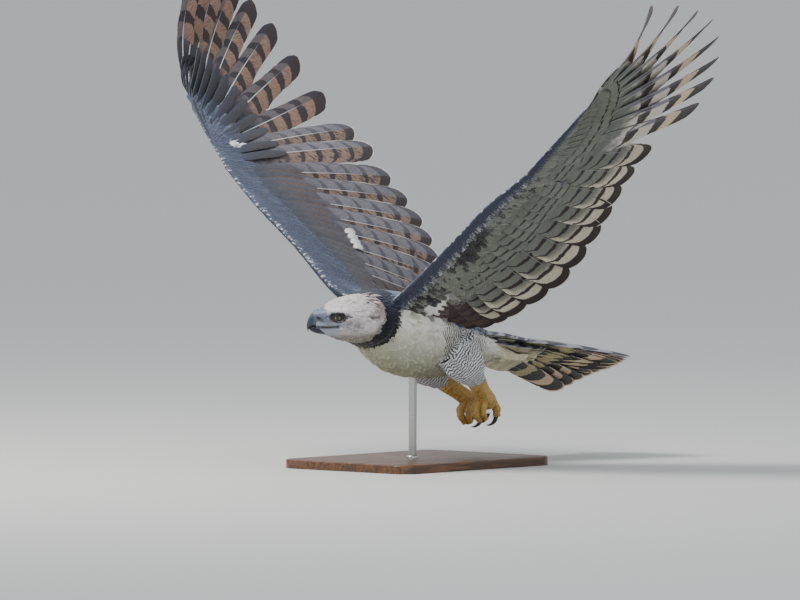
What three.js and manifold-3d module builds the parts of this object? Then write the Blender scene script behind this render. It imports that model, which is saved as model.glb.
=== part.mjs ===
// Harpy eagle in flight, life size, on a flat display stand with one short rod.
// Millimetres, +Z up, beak towards -Y, the bird's left wing on +X.
// The origin is the middle of the stand base's underside.
import * as THREE from "three";
import Module from "manifold-3d";

const wasm = await Module();
wasm.setup();

// Driving dimensions
const GAP = 0.3; // clearance between two nodes
const BODY_AT = new THREE.Vector3(0, -165, 400); // midpoint between the shoulder joints
const BASE_LENGTH = 500;
const BASE_WIDTH = 380;
const BASE_THICK = 20;
const BASE_CORNER = 40;
const BASE_BEVEL = 4;
const ROD_RADIUS = 9;
const ROD_BACK = 150; // how far the rod stands behind the shoulders
const ROD_SUNK = 40; // how far the rod goes up into the body
const ROD_SEAT = 8; // height of the rod's lower end inside the base
const BELLY = 206; // how far the belly lies below the shoulders, over the rod
const HEAD_TURN = 42; // degrees the head is turned to the bird's right
const HEAD_AT = [5, -97, -57]; // centre of the head from the shoulders' midpoint
const EYE_RADIUS = 11;
const EDGE_HALF = 0.4; // half the thickness of a vane at its edges
const SHINGLE_TILT = 5.5; // degrees a vane is turned about its shaft, outer edge up
const PRIMARIES = 10;
const SECONDARIES = 11;
const TAIL_FEATHERS = 12;

const group = new THREE.Group();
const nodes = new Map();

function rad(degrees) {
  return (degrees * Math.PI) / 180;
}

function at(x, y, z) {
  return new THREE.Vector3(x, y, z).add(BODY_AT);
}

function moved(point, x, y, z) {
  return new THREE.Vector3(x, y, z).add(point);
}

// A smooth track through keys [position, value, value, ...]
function track(keys) {
  const slope = keys.map((key, i) => {
    const before = keys[Math.max(0, i - 1)];
    const after = keys[Math.min(keys.length - 1, i + 1)];
    return key.map((_, j) => (after[j] - before[j]) / (after[0] - before[0]));
  });
  return (where) => {
    let i = 0;
    while (i < keys.length - 2 && where > keys[i + 1][0]) i += 1;
    const span = keys[i + 1][0] - keys[i][0];
    const t = (where - keys[i][0]) / span;
    const a = 2 * t ** 3 - 3 * t ** 2 + 1;
    const b = t ** 3 - 2 * t ** 2 + t;
    const c = -2 * t ** 3 + 3 * t ** 2;
    const d = t ** 3 - t ** 2;
    return keys[i].slice(1).map((v, j) => {
      const k = j + 1;
      return a * v + b * span * slope[i][k] + c * keys[i + 1][k] + d * span * slope[i + 1][k];
    });
  };
}

const UP = new THREE.Vector3(0, 0, 1);

// A solid from indexed points, turned the right way out
function solidFrom(points, triangles) {
  const vertProperties = new Float32Array(points.flatMap((p) => [p.x, p.y, p.z]));
  const made = new wasm.Manifold(
    new wasm.Mesh({ numProp: 3, vertProperties, triVerts: new Uint32Array(triangles.flat()) })
  );
  if (made.volume() > 0) return made;
  const turned = triangles.map(([a, b, c]) => [a, c, b]);
  return new wasm.Manifold(
    new wasm.Mesh({ numProp: 3, vertProperties, triVerts: new Uint32Array(turned.flat()) })
  );
}

// A closed skin over rings with the same number of points; both faces of a thin ring split alike
function loft(rings, thin = false) {
  const count = rings[0].length;
  const points = rings.flat();
  const triangles = [];
  for (let k = 0; k < rings.length - 1; k += 1) {
    for (let i = 0; i < count; i += 1) {
      const a = k * count + i;
      const b = k * count + ((i + 1) % count);
      const c = a + count;
      const d = b + count;
      if (thin && i >= count / 2) triangles.push([a, b, c], [b, d, c]);
      else triangles.push([a, b, d], [a, d, c]);
    }
  }
  for (const [first, flip] of [[0, true], [(rings.length - 1) * count, false]]) {
    if (thin) {
      for (let i = 0; i < count / 2 - 1; i += 1) {
        const p = first + i;
        const q = first + i + 1;
        const r = first + count - 2 - i;
        const s = first + count - 1 - i;
        const pair = [[p, q, r], [p, r, s]];
        for (const [x, y, z] of pair) triangles.push(flip ? [x, z, y] : [x, y, z]);
      }
    } else {
      const centre = new THREE.Vector3();
      for (let i = 0; i < count; i += 1) centre.add(points[first + i]);
      points.push(centre.divideScalar(count));
      for (let i = 0; i < count; i += 1) {
        const next = first + ((i + 1) % count);
        triangles.push(flip ? [points.length - 1, next, first + i] : [points.length - 1, first + i, next]);
      }
    }
  }
  return solidFrom(points, triangles);
}

function union(list) {
  return wasm.Manifold.union(list);
}

function largest(solid) {
  const bodies = solid.decompose();
  return bodies.reduce((best, body) => (body.volume() > best.volume() ? body : best));
}

// A tube with oval rings along points; every ring holds a half width and a half height
function tube(path, radii, sides, up = UP, grow = 0) {
  const rings = path.map((p, i) => {
    const before = path[Math.max(0, i - 1)];
    const after = path[Math.min(path.length - 1, i + 1)];
    const along = after.clone().sub(before).normalize();
    const across = along.clone().cross(up).normalize();
    const high = across.clone().cross(along).normalize();
    const [half, tall] = radii[i];
    const ends = i === 0 ? -grow : i === path.length - 1 ? grow : 0;
    return Array.from({ length: sides }, (_, k) => {
      const turn = (2 * Math.PI * (k + 0.5)) / sides;
      return p.clone()
        .addScaledVector(along, ends)
        .addScaledVector(across, Math.cos(turn) * (half + grow))
        .addScaledVector(high, Math.sin(turn) * (tall + grow));
    });
  });
  return loft(rings);
}

// Widths of a vane along its shaft as [position, outer share, inner share]
const ROUND_VANE = [
  [0, 0.16, 0.14],
  [0.18, 0.8, 0.8],
  [0.55, 1, 1],
  [0.93, 0.8, 0.76],
  [1, 0.22, 0.22]
];
const FINGER_VANE = [
  [0, 0.16, 0.12],
  [0.3, 0.95, 0.95],
  [0.48, 1, 1],
  [0.62, 0.86, 0.8],
  [0.93, 0.72, 0.7],
  [1, 0.26, 0.26]
];
const SMALL_VANE = [
  [0, 0.3, 0.3],
  [0.5, 1, 1],
  [0.88, 0.8, 0.8],
  [1, 0.2, 0.2]
];

// One feather: a thin vane, bowed between its root and its tip, with a shaft ridge unless it is flat
function feather(f, grow = 0) {
  const chord = f.tip.clone().sub(f.root);
  const length = chord.length();
  const along = chord.normalize();
  const normal = f.normal.clone().addScaledVector(along, -f.normal.dot(along)).normalize();
  const outward = along.clone().cross(normal).multiplyScalar(f.side);
  const tilt = rad(f.tilt ?? SHINGLE_TILT);
  const edge = EDGE_HALF + grow;
  const rings = f.profile.map(([t, outerShare, innerShare], i) => {
    const last = i === f.profile.length - 1;
    const bulge = 4 * t * (1 - t);
    const turn = tilt + rad(f.twist ?? 0) * t;
    const across = outward.clone().multiplyScalar(Math.cos(turn)).addScaledVector(normal, Math.sin(turn));
    const high = normal.clone().multiplyScalar(Math.cos(turn)).addScaledVector(outward, -Math.sin(turn));
    const centre = f.root.clone()
      .addScaledVector(along, length * t + (last ? grow : i === 0 ? -grow : 0))
      .addScaledVector(outward, (f.sweep ?? 0) * bulge)
      .addScaledVector(normal, (f.bow ?? 0) * bulge);
    const shaft = THREE.MathUtils.lerp(f.shaft ?? 1.9, EDGE_HALF + 0.15, t) + grow;
    const outer = f.outer * outerShare + grow;
    const inner = f.inner * innerShare + grow;
    const point = (x, z) => centre.clone().addScaledVector(across, x).addScaledVector(high, z);
    if (f.flat) {
      const plain = edge + 0.2;
      return [point(outer, plain), point(-inner, plain), point(-inner, -plain), point(outer, -plain)];
    }
    return [
      point(outer, edge),
      point(0, shaft),
      point(-inner, edge),
      point(-inner, -edge),
      point(0, -shaft),
      point(outer, -edge)
    ];
  });
  return loft(rings, true);
}

// Torso: oval sections across the body, [back, top, bottom, half width]
const TORSO = [
  [-34, -30, -100, 34],
  [-22, -6, -124, 62],
  [-4, 5, -142, 80],
  [24, 8, -163, 92],
  [65, 2, -188, 97],
  [120, -8, -203, 96],
  [180, -22, -209, 91],
  [245, -42, -207, 79],
  [310, -68, -199, 62],
  [370, -93, -190, 45],
  [412, -108, -182, 34]
];
const TORSO_SIDES = 20;

function torsoShape(grow = 0) {
  const rings = TORSO.map(([back, top, bottom, half], i) => {
    const middle = bottom + (top - bottom) * 0.52;
    const ends = i === 0 ? -grow : i === TORSO.length - 1 ? grow : 0;
    return Array.from({ length: TORSO_SIDES }, (_, k) => {
      const turn = (2 * Math.PI * k) / TORSO_SIDES;
      const lift = Math.sin(turn);
      const narrow = 1 - 0.22 * Math.max(0, -lift);
      const x = Math.cos(turn) * (half * narrow + grow);
      const z = middle + lift * ((lift > 0 ? top - middle : middle - bottom) + grow);
      return at(x, back + ends, z);
    });
  });
  return loft(rings);
}

// Neck and collar, from inside the torso to inside the head
const NECK = [
  [2, 16, -72, 64, 54],
  [8, -14, -64, 78, 68],
  [16, -36, -61, 68, 63],
  [27, -52, -58, 54, 56],
  [34, -62, -58, 42, 46]
];

function neckShape(grow = 0) {
  const path = NECK.map(([x, y, z]) => at(x, y, z));
  return tube(path, NECK.map((n) => [n[3], n[4]]), 20, UP, grow);
}

// Head frame: forward along the beak, left, up
const headForward = new THREE.Vector3(-Math.sin(rad(HEAD_TURN)), -Math.cos(rad(HEAD_TURN)), 0);
const headLeft = new THREE.Vector3(Math.cos(rad(HEAD_TURN)), -Math.sin(rad(HEAD_TURN)), 0);
const headCentre = at(...HEAD_AT);

function inHead(forward, left, up) {
  return headCentre.clone()
    .addScaledVector(headForward, forward)
    .addScaledVector(headLeft, left)
    .add(new THREE.Vector3(0, 0, up));
}

// Head sections [forward, middle height, half width, half height]
const HEAD = [
  [-92, -3, 17, 18],
  [-83, 0, 36, 38],
  [-66, 0, 47, 50],
  [-44, -2, 51, 56],
  [-10, -3, 49, 52],
  [12, -3, 44, 46],
  [28, -3, 36, 39],
  [42, -1, 26, 30],
  [53, 3, 17, 19]
];
// Bill sections: forward and up of the ridge, forward and up of the cutting edge, half width
const UPPER_BILL = [
  [38, 20, 38, -20, 15.5],
  [53, 17.5, 52, -20, 14],
  [63, 10, 59.5, -19, 11],
  [70, -0.5, 64, -20.5, 7.6],
  [73.5, -12, 67.5, -23, 4.6],
  [73.3, -23, 69.8, -27, 2.4],
  [70.8, -31.5, 69.8, -31, 0.7]
];
const LOWER_BILL = [
  [32, -20.5, 34, -38, 14],
  [48, -20.5, 48, -36, 11.5],
  [58, -19.5, 58, -32.5, 8.5],
  [66, -22.5, 65.5, -27.5, 3.5]
];
const MOUTH_HEIGHT = -19.5; // height of the mouth line in the head frame
const EYE_AT = [8.5, 34, 2]; // forward, left, up in the head frame

function headShape(grow = 0) {
  const path = HEAD.map(([forward, up]) => inHead(forward, 0, up));
  return tube(path, HEAD.map((h) => [h[2], h[3]]), 18, UP, grow);
}

const BILL_SIDES = 12;

function billShape(sections, grow = 0) {
  const rings = sections.map(([ridgeAt, ridge, edgeAt, edge, half], i) => {
    const upper = inHead(ridgeAt, 0, ridge);
    const lower = inHead(edgeAt, 0, edge);
    const middle = upper.clone().add(lower).multiplyScalar(0.5);
    const high = upper.clone().sub(lower).normalize();
    const tall = upper.distanceTo(lower) / 2 + grow;
    const ends = i === 0 ? -grow : i === sections.length - 1 ? grow : 0;
    const along = headLeft.clone().cross(high).multiplyScalar(ends);
    return Array.from({ length: BILL_SIDES }, (_, k) => {
      const turn = (2 * Math.PI * (k + 0.5)) / BILL_SIDES;
      return middle.clone()
        .add(along)
        .addScaledVector(headLeft, Math.cos(turn) * (half + grow))
        .addScaledVector(high, Math.sin(turn) * tall);
    });
  });
  return loft(rings);
}

// An egg of three radii along the head's axes: forward, left, up
function egg([forward, left, up], radii, sides = 14, rows = 8, grow = 0) {
  const centre = inHead(forward, left, up);
  const [a, b, c] = radii.map((r) => r + grow);
  const points = [];
  const triangles = [];
  for (let r = 1; r < rows; r += 1) {
    const lat = (Math.PI * r) / rows;
    for (let k = 0; k < sides; k += 1) {
      const turn = (2 * Math.PI * k) / sides;
      points.push(centre.clone()
        .addScaledVector(headForward, Math.sin(lat) * Math.cos(turn) * a)
        .addScaledVector(UP, Math.sin(lat) * Math.sin(turn) * c)
        .addScaledVector(headLeft, Math.cos(lat) * b));
    }
  }
  const front = points.length;
  points.push(centre.clone().addScaledVector(headLeft, b));
  points.push(centre.clone().addScaledVector(headLeft, -b));
  for (let k = 0; k < sides; k += 1) {
    const next = (k + 1) % sides;
    triangles.push([front, k, next]);
    for (let r = 0; r < rows - 2; r += 1) {
      const p = r * sides + k;
      const q = r * sides + next;
      triangles.push([p, p + sides, q], [q, p + sides, q + sides]);
    }
    const base = (rows - 2) * sides;
    triangles.push([front + 1, base + next, base + k]);
  }
  return solidFrom(points, triangles);
}

function eyeShape(side, grow = 0) {
  const [forward, left, up] = EYE_AT;
  return egg([forward, left * side, up], [EYE_RADIUS, EYE_RADIUS, EYE_RADIUS], 12, 8, grow);
}

// Brow ridge over the eye, and the shallow orbit round it
function browShape(side, grow = 0) {
  const path = [[-12, 43, 9], [2, 43.5, 14], [18, 38.5, 14.5], [34, 27, 10]];
  const radii = [[3, 4], [6, 6], [6, 6], [3, 4]];
  return tube(path.map(([f, l, u]) => inHead(f, l * side, u)), radii, 8, UP, grow);
}

function orbitShape(side) {
  return egg([9.5, 49 * side, 1], [18, 9, 12], 12, 6);
}

// Upper and lower lid, each a soft rim bent over the eyeball from corner to corner
const LIDS = [{ rise: 7.6, slope: 0.6 }, { rise: -6.8, slope: -0.4 }];

function lidShape(side, { rise, slope }, grow = 0) {
  const [forward, left, up] = EYE_AT;
  const path = [0, 1, 2, 3, 4].map((i) => {
    const turn = (Math.PI * i) / 4;
    const across = Math.cos(turn) * 9.6;
    const over = Math.sin(turn) * rise;
    const out = Math.sqrt(Math.max(4, EYE_RADIUS ** 2 - across ** 2 - over ** 2));
    return inHead(forward + across, (left + out) * side, up + over - across * 0.1 + slope);
  });
  const radii = [[1, 1], [2, 2], [2.2, 2.2], [2, 2], [1, 1]];
  return tube(path, radii, 6, headLeft, grow);
}

// The mouth line: a thin wedge let into each cheek
function mouthCut(side) {
  const widthAt = track(HEAD.map(([forward, , half]) => [forward, half]));
  const rings = [6, 20, 34, 46].map((forward, i) => {
    const half = widthAt(forward)[0];
    const open = [0.7, 1.3, 1.6, 1.8][i];
    return [
      inHead(forward, side * half * 0.84, MOUTH_HEIGHT),
      inHead(forward, side * (half + 5), MOUTH_HEIGHT + open),
      inHead(forward, side * (half + 5), MOUTH_HEIGHT - open)
    ];
  });
  return loft(rings);
}

function nostril(side) {
  return egg([52, side * 13.5, 1], [3.2, 2.6, 1.8], 8, 6);
}

// Crest feathers laid back over the nape, in two tiers
const CREST = [
  { count: 4, root: -24, tip: -76, high: 47, lift: 8, wide: 30, half: 10 },
  { count: 3, root: -46, tip: -98, high: 46, lift: 4, wide: 22, half: 10 }
];

function crestFeathers() {
  return CREST.flatMap(({ count, root, tip, high, lift, wide, half }) =>
    Array.from({ length: count }, (_, i) => {
      const share = count === 1 ? 0 : (2 * i) / (count - 1) - 1;
      const drop = 9 * share * share;
      return {
        root: inHead(root, share * wide * 0.7, high - drop),
        tip: inHead(tip + 7 * Math.abs(share), share * wide, high + lift - drop * 1.6),
        normal: UP.clone().addScaledVector(headLeft, share * 0.5),
        side: share >= 0 ? 1 : -1,
        profile: SMALL_VANE,
        outer: half,
        inner: half,
        bow: 3,
        flat: true,
        tilt: 0
      };
    })
  );
}

// Wings: keys from the shoulders' midpoint, x counted outwards on either side
const WINGS = {
  left: {
    side: 1,
    fingerTwist: [-8, -50], // degrees, from the first finger to the outermost
    // Leading edge, chord direction, chord length and thickness, shoulder to wrist
    arm: [
      [0, 62, 4, -24, -0.05, 1, -0.3, 190, 44],
      [1, 120, -6, 10, -0.08, 1, -0.34, 190, 42],
      [2, 230, 0, 100, -0.12, 1, -0.34, 190, 36],
      [3, 345, 6, 196, -0.14, 1, -0.22, 165, 30],
      [4, 455, 16, 270, -0.08, 1, -0.06, 132, 25]
    ],
    hand: [
      [0, 453, 16, 270, -0.04, 1, 0, 124, 22],
      [1, 520, 42, 346, 0.2, 1, 0.22, 104, 16],
      [2, 583, 70, 416, 0.5, 0.8, 0.7, 66, 9],
      [3, 612, 90, 452, 0.6, 0.6, 0.9, 34, 5]
    ],
    armTips: [
      [1, 360, 440, 206],
      [3, 304, 433, 117],
      [5, 232, 405, 14],
      [7, 140, 360, -55],
      [9, 96, 318, -82],
      [11, 70, 258, -80]
    ],
    handTips: [
      [1, 396, 445, 255],
      [2, 447, 445, 308],
      [3, 563, 475, 415],
      [5, 668, 422, 524],
      [7, 725, 335, 611],
      [9, 730, 215, 645],
      [10, 720, 140, 646]
    ]
  },
  right: {
    side: -1,
    fingerTwist: [12, -40],
    arm: [
      [0, 62, 4, -24, -0.05, 1, -0.3, 190, 44],
      [1, 120, -6, 12, -0.08, 1, -0.3, 190, 42],
      [2, 230, 0, 98, -0.12, 1, -0.26, 190, 36],
      [3, 353, 4, 185, -0.14, 1, -0.16, 168, 30],
      [4, 453, 16, 262, -0.08, 1, 0, 132, 25]
    ],
    hand: [
      [0, 451, 16, 262, -0.04, 1, 0.05, 124, 22],
      [1, 528, 36, 332, 0.1, 1, 0.35, 104, 16],
      [2, 598, 56, 402, 0.3, 0.8, 0.9, 66, 9],
      [3, 622, 70, 440, 0.3, 0.6, 1, 34, 5]
    ],
    armTips: [
      [1, 327, 440, 227],
      [3, 221, 430, 133],
      [5, 148, 402, 52],
      [7, 100, 350, -22],
      [9, 78, 310, -58],
      [11, 66, 256, -68]
    ],
    handTips: [
      [1, 387, 445, 292],
      [2, 446, 445, 332],
      [3, 563, 475, 406],
      [5, 668, 422, 562],
      [7, 693, 316, 656],
      [9, 663, 200, 688],
      [10, 643, 132, 677]
    ]
  }
};

// Half thickness of the wing's flesh along its chord
const AIRFOIL = [[0.04, 0.45], [0.2, 0.95], [0.5, 0.85], [0.8, 0.42], [1, 0.12]];
const ROOT_SHARE = 0.42; // where the feather roots lie along the chord
const ARM_ROOTS = [3.8, 0.9]; // first and last root along the arm's keys
const HAND_ROOTS = [0.12, 2.25];

// One section of the wing's flesh: leading edge, direction of the chord, chord length, thickness
function section(keys, where) {
  const [out, back, up, dx, dy, dz, chord, thick] = track(keys)(where);
  return {
    lead: new THREE.Vector3(out, back, up),
    along: new THREE.Vector3(dx, dy, dz).normalize(),
    chord,
    thick
  };
}

function rootsAlong(keys, [first, last], count) {
  return (i) => {
    const where = THREE.MathUtils.lerp(first, last, (i - 1) / (count - 1));
    const { lead, along, chord } = section(keys, where);
    return lead.addScaledVector(along, chord * ROOT_SHARE).toArray();
  };
}

function fleshShape(wing, keys, grow = 0) {
  const steps = (keys.length - 1) * 2;
  const sections = Array.from({ length: steps + 1 }, (_, i) => section(keys, i / 2));
  const rings = sections.map(({ lead, along, chord, thick }, i) => {
    const before = sections[Math.max(0, i - 1)].lead;
    const after = sections[Math.min(steps, i + 1)].lead;
    const span = after.clone().sub(before).normalize();
    const high = span.clone().cross(along).normalize();
    const ends = i === 0 ? -grow : i === steps ? grow : 0;
    const point = (t, h) => {
      const p = lead.clone()
        .addScaledVector(span, ends)
        .addScaledVector(along, t * chord)
        .addScaledVector(high, h);
      return at(p.x * wing.side, p.y, p.z);
    };
    const half = (share) => (thick / 2) * share + grow;
    const rear = 1 + grow / chord;
    return [
      point(-grow / chord, 0),
      ...AIRFOIL.map(([t, share]) => point(t === 1 ? rear : t, half(share))),
      ...AIRFOIL.slice().reverse().map(([t, share]) => point(t === 1 ? rear : t, -half(share)))
    ];
  });
  return loft(rings);
}

// A row of feathers between roots in the flesh and a track of tips
function featherRow(wing, rootOf, tips, from, to, make) {
  const tipOf = track(tips);
  const point = (p) => at(p[0] * wing.side, p[1], p[2]);
  const list = [];
  for (let i = from; i <= to; i += 1) {
    const root = point(rootOf(i));
    const tip = point(tipOf(i));
    const low = Math.max(from, i - 1);
    const high = Math.min(to, i + 1);
    const span = point(tipOf(high)).sub(point(tipOf(low))).add(point(rootOf(high))).sub(point(rootOf(low)));
    const normal = span.cross(tip.clone().sub(root)).normalize();
    if (normal.z < 0) normal.negate();
    list.push({ root, tip, normal, side: wing.side, ...make(i) });
  }
  return list;
}

function armFeathers(wing) {
  const rootOf = rootsAlong(wing.arm, ARM_ROOTS, SECONDARIES);
  return featherRow(wing, rootOf, wing.armTips, 1, SECONDARIES, (i) => ({
    profile: ROUND_VANE,
    outer: i < 8 ? 30 : 24,
    inner: i < 8 ? 46 : 34,
    bow: 10,
    sweep: -3
  }));
}

function handFeathers(wing) {
  const rootOf = rootsAlong(wing.hand, HAND_ROOTS, PRIMARIES);
  return featherRow(wing, rootOf, wing.handTips, 1, PRIMARIES, (i) => ({
    profile: i < 3 ? ROUND_VANE : FINGER_VANE,
    outer: i < 3 ? 27 : 26 - i * 1.1,
    inner: i < 3 ? 44 : 52 - i * 1.6,
    bow: i < 3 ? 6 : -8 - i,
    sweep: i < 3 ? 0 : 4,
    twist: i < 3 ? 0 : THREE.MathUtils.mapLinear(i, 3, PRIMARIES, ...wing.fingerTwist),
    shaft: 2.2
  }));
}

const ARM_COVERTS = 8;
const HAND_COVERTS = 5;

// Coverts: one over the base of a flight feather, on the upper side
function covertsOver(feathers, share, lift, scale) {
  return feathers.map((f) => {
    const along = f.tip.clone().sub(f.root);
    return {
      ...f,
      root: f.root.clone().addScaledVector(along, -0.03),
      tip: f.root.clone().addScaledVector(along, share).addScaledVector(f.normal, lift),
      profile: SMALL_VANE,
      outer: 25 * scale,
      inner: 30 * scale,
      bow: 5,
      sweep: 0,
      flat: true
    };
  });
}

// Alula: a few stiff vanes along the front of the hand
const ALULA = 2;

function alulaFeathers(wing) {
  return Array.from({ length: ALULA }, (_, i) => {
    const from = section(wing.hand, 0.16 + i * 0.1);
    const to = section(wing.hand, 1.75 - i * 0.3);
    const span = to.lead.clone().sub(from.lead).normalize();
    const high = span.clone().cross(from.along).normalize();
    const root = from.lead.addScaledVector(from.along, 12 + i * 7);
    const tip = to.lead.addScaledVector(to.along, 2 + i * 9).addScaledVector(high, 11 + i * 2);
    const flip = (v) => new THREE.Vector3(v.x * wing.side, v.y, v.z);
    return {
      root: flip(root).add(BODY_AT),
      tip: flip(tip).add(BODY_AT),
      normal: flip(high),
      side: wing.side,
      profile: SMALL_VANE,
      outer: 9,
      inner: 15,
      bow: -2,
      flat: true,
      tilt: 6
    };
  });
}

function armVanes(wing) {
  const flight = armFeathers(wing);
  return [...flight, ...covertsOver(flight.slice(0, ARM_COVERTS), 0.42, 8, 1)];
}

function handVanes(wing) {
  const flight = handFeathers(wing);
  const coverts = covertsOver(flight.slice(0, HAND_COVERTS), 0.32, 7, 0.78);
  return [...flight, ...coverts, ...alulaFeathers(wing)];
}

function wingPart(wing, keys, vanes, grow = 0) {
  return union([fleshShape(wing, keys, grow), ...vanes.map((f) => feather(f, grow))]);
}

// Tail: fan angles from the bird's left to its right, and the height of the tips
const TAIL_ROOT = [0, 392, -134];
const TAIL_TIPS = [
  [0, 126, 740, -176],
  [4, 68, 764, -194],
  [8, -22, 770, -222],
  [11, -96, 752, -258]
];

function tailShape() {
  const tipOf = track(TAIL_TIPS);
  const list = [];
  for (let i = 0; i < TAIL_FEATHERS; i += 1) {
    const left = i < TAIL_FEATHERS / 2;
    const spread = (TAIL_FEATHERS / 2 - 0.5 - i) / (TAIL_FEATHERS / 2);
    const [x, y, z] = tipOf(i);
    list.push({
      root: at(TAIL_ROOT[0] + spread * 26, TAIL_ROOT[1] - 8 * Math.abs(spread), TAIL_ROOT[2] + spread * 17),
      tip: at(x, y, z),
      normal: new THREE.Vector3(-0.34 + spread * 0.3, 0.2, 1),
      side: left ? 1 : -1,
      profile: ROUND_VANE,
      outer: 22,
      inner: 34,
      bow: 6,
      tilt: 6.5
    });
  }
  const stump = tube(
    [at(0, 350, -139), at(0, 402, -144), at(6, 458, -156), at(9, 520, -168)],
    [[44, 42], [40, 36], [40, 22], [32, 4]],
    16
  );
  const coverts = covertsOver(list.slice(2, -2).filter((_, i) => i % 2 === 0), 0.36, 9, 0.8);
  return union([stump, ...[...list, ...coverts].map((f) => feather(f))]);
}

// Legs: keys from the shoulders' midpoint, x counted outwards
const LEGS = {
  left: {
    side: 1,
    hip: [62, 205, -130],
    knee: [68, 250, -172],
    ankle: [55, 300, -210],
    foot: [34, 362, -260]
  },
  right: {
    side: -1,
    hip: [62, 215, -135],
    knee: [66, 262, -180],
    ankle: [57, 318, -218],
    foot: [38, 392, -268]
  }
};

function legPoint(leg, key, share = 1, other = key) {
  const p = key.map((v, i) => other[i] + (v - other[i]) * share);
  return at(p[0] * leg.side, p[1], p[2]);
}

function thighShape(leg, grow = 0) {
  const path = [
    legPoint(leg, leg.hip),
    legPoint(leg, leg.knee),
    legPoint(leg, leg.ankle, 0.6, leg.knee),
    legPoint(leg, leg.ankle)
  ];
  return tube(path, [[44, 62], [40, 50], [30, 34], [21, 22]], 16, new THREE.Vector3(0, 1, 0.2), grow);
}

function tarsusShape(leg, grow = 0) {
  const path = [
    legPoint(leg, leg.ankle, 0.75, leg.knee),
    legPoint(leg, leg.ankle),
    legPoint(leg, leg.foot, 0.5, leg.ankle),
    legPoint(leg, leg.foot)
  ];
  return tube(path, [[14, 14], [20, 22], [16, 19], [21, 20]], 12, new THREE.Vector3(0, 1, 0.2), grow);
}

// The ball of the foot, from which the toes spring
function padShape(leg, grow = 0) {
  const foot = legPoint(leg, leg.foot);
  const path = [-16, -6, 8, 18].map((step) => moved(foot, 0, -step, -6 - step * 0.1));
  return tube(path, [[9, 8], [17, 14], [17, 14], [10, 8]], 10, UP, grow);
}

const TOE_SIDES = 8;
const CLAW_SIDES = 6;

// Toes clenched, each curling in its own plane
const TOES = [
  { name: "inner", turn: -26, step: 17, curl: 48, count: 4, thick: 9.5, start: 2, claw: 32, hook: 16 },
  { name: "middle", turn: 0, step: 18, curl: 46, count: 4, thick: 10, start: 6, claw: 32, hook: 16 },
  { name: "outer", turn: 26, step: 16, curl: 48, count: 4, thick: 9, start: 2, claw: 30, hook: 16 },
  { name: "hind", turn: 180, step: 17, curl: 38, count: 3, thick: 11, start: -12, claw: 44, hook: 20 }
];

function toeParts(leg, toe) {
  const foot = legPoint(leg, leg.foot);
  const turn = rad(toe.turn) * leg.side; // about the vertical, 0 is forwards
  const flat = new THREE.Vector3(Math.sin(turn), -Math.cos(turn), 0);
  const across = new THREE.Vector3(Math.cos(turn), Math.sin(turn), 0);
  let pitch = rad(toe.start);
  let p = foot.clone().addScaledVector(flat, 3).add(new THREE.Vector3(0, 0, -4));
  const path = [p.clone()];
  for (let i = 0; i < toe.count; i += 1) {
    p = p.clone()
      .addScaledVector(flat, Math.cos(pitch) * toe.step)
      .add(new THREE.Vector3(0, 0, Math.sin(pitch) * toe.step));
    path.push(p);
    pitch -= rad(toe.curl);
  }
  const claw = [p.clone().addScaledVector(path[path.length - 1].clone().sub(path[path.length - 2]), -0.3)];
  for (let i = 0; i < 4; i += 1) {
    p = p.clone()
      .addScaledVector(flat, Math.cos(pitch) * toe.claw / 4)
      .add(new THREE.Vector3(0, 0, Math.sin(pitch) * toe.claw / 4));
    claw.push(p);
    pitch -= rad(toe.hook);
  }
  const radii = path.map((_, i) => [toe.thick - i * 0.7, toe.thick - i * 0.8]);
  const clawRadii = claw.map((_, i) => [5.8 - i * 1.22, 6 - i * 1.22]);
  const up = across.clone();
  return { path, radii, claw, clawRadii, up };
}

// Assembly, each neighbour cut by the shape grown by the clearance
function add(name, solid, colour, roughness = 0.7) {
  nodes.set(name, { solid: largest(solid), colour, roughness });
}

const SIDES = [1, -1];
const skull = headShape().subtract(union(SIDES.map(orbitShape)));
const crest = union(crestFeathers().map((f) => feather(f)));
const crestCutter = union(crestFeathers().map((f) => feather(f, GAP)));
const lids = SIDES.flatMap((side) => LIDS.map((lid) => lidShape(side, lid)));
const eyesAndBill = union([
  ...SIDES.map((side) => eyeShape(side, GAP)),
  billShape(UPPER_BILL, GAP),
  billShape(LOWER_BILL, GAP)
]);
add("head", union([skull, crest, ...lids, ...SIDES.map((side) => browShape(side))])
  .subtract(eyesAndBill)
  .subtract(union(SIDES.map(mouthCut))), "#c9c7c1");
add("eye_left", eyeShape(1), "#2a2622", 0.2);
add("eye_right", eyeShape(-1), "#2a2622", 0.2);
add("bill_upper", billShape(UPPER_BILL).subtract(union(SIDES.map(nostril))), "#2e3135", 0.4);
add("bill_lower", billShape(LOWER_BILL).subtract(billShape(UPPER_BILL, GAP)), "#34363a", 0.4);
const browCutter = union(SIDES.map((side) => browShape(side, GAP)));
const headCutter = union([headShape(GAP), crestCutter, eyesAndBill, browCutter]);
add("neck", neckShape().subtract(headCutter), "#24262c");

const rodTop = BODY_AT.z - BELLY + ROD_SUNK;
const rodSpot = new THREE.Vector3(0, BODY_AT.y + ROD_BACK, 0);

function rod(radius, low, high) {
  return tube(
    [new THREE.Vector3(rodSpot.x, rodSpot.y, low), new THREE.Vector3(rodSpot.x, rodSpot.y, high)],
    [[radius, radius], [radius, radius]],
    24,
    new THREE.Vector3(0, 1, 0)
  );
}

add("torso", torsoShape()
  .subtract(neckShape(GAP))
  .subtract(headCutter)
  .subtract(rod(ROD_RADIUS + GAP, BODY_AT.z - BELLY - 50, rodTop + GAP)), "#e4e0d2");
const torsoCutter = union([torsoShape(GAP), neckShape(GAP), headCutter]);
add("tail", tailShape().subtract(torsoCutter), "#6b6a5c");

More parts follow.
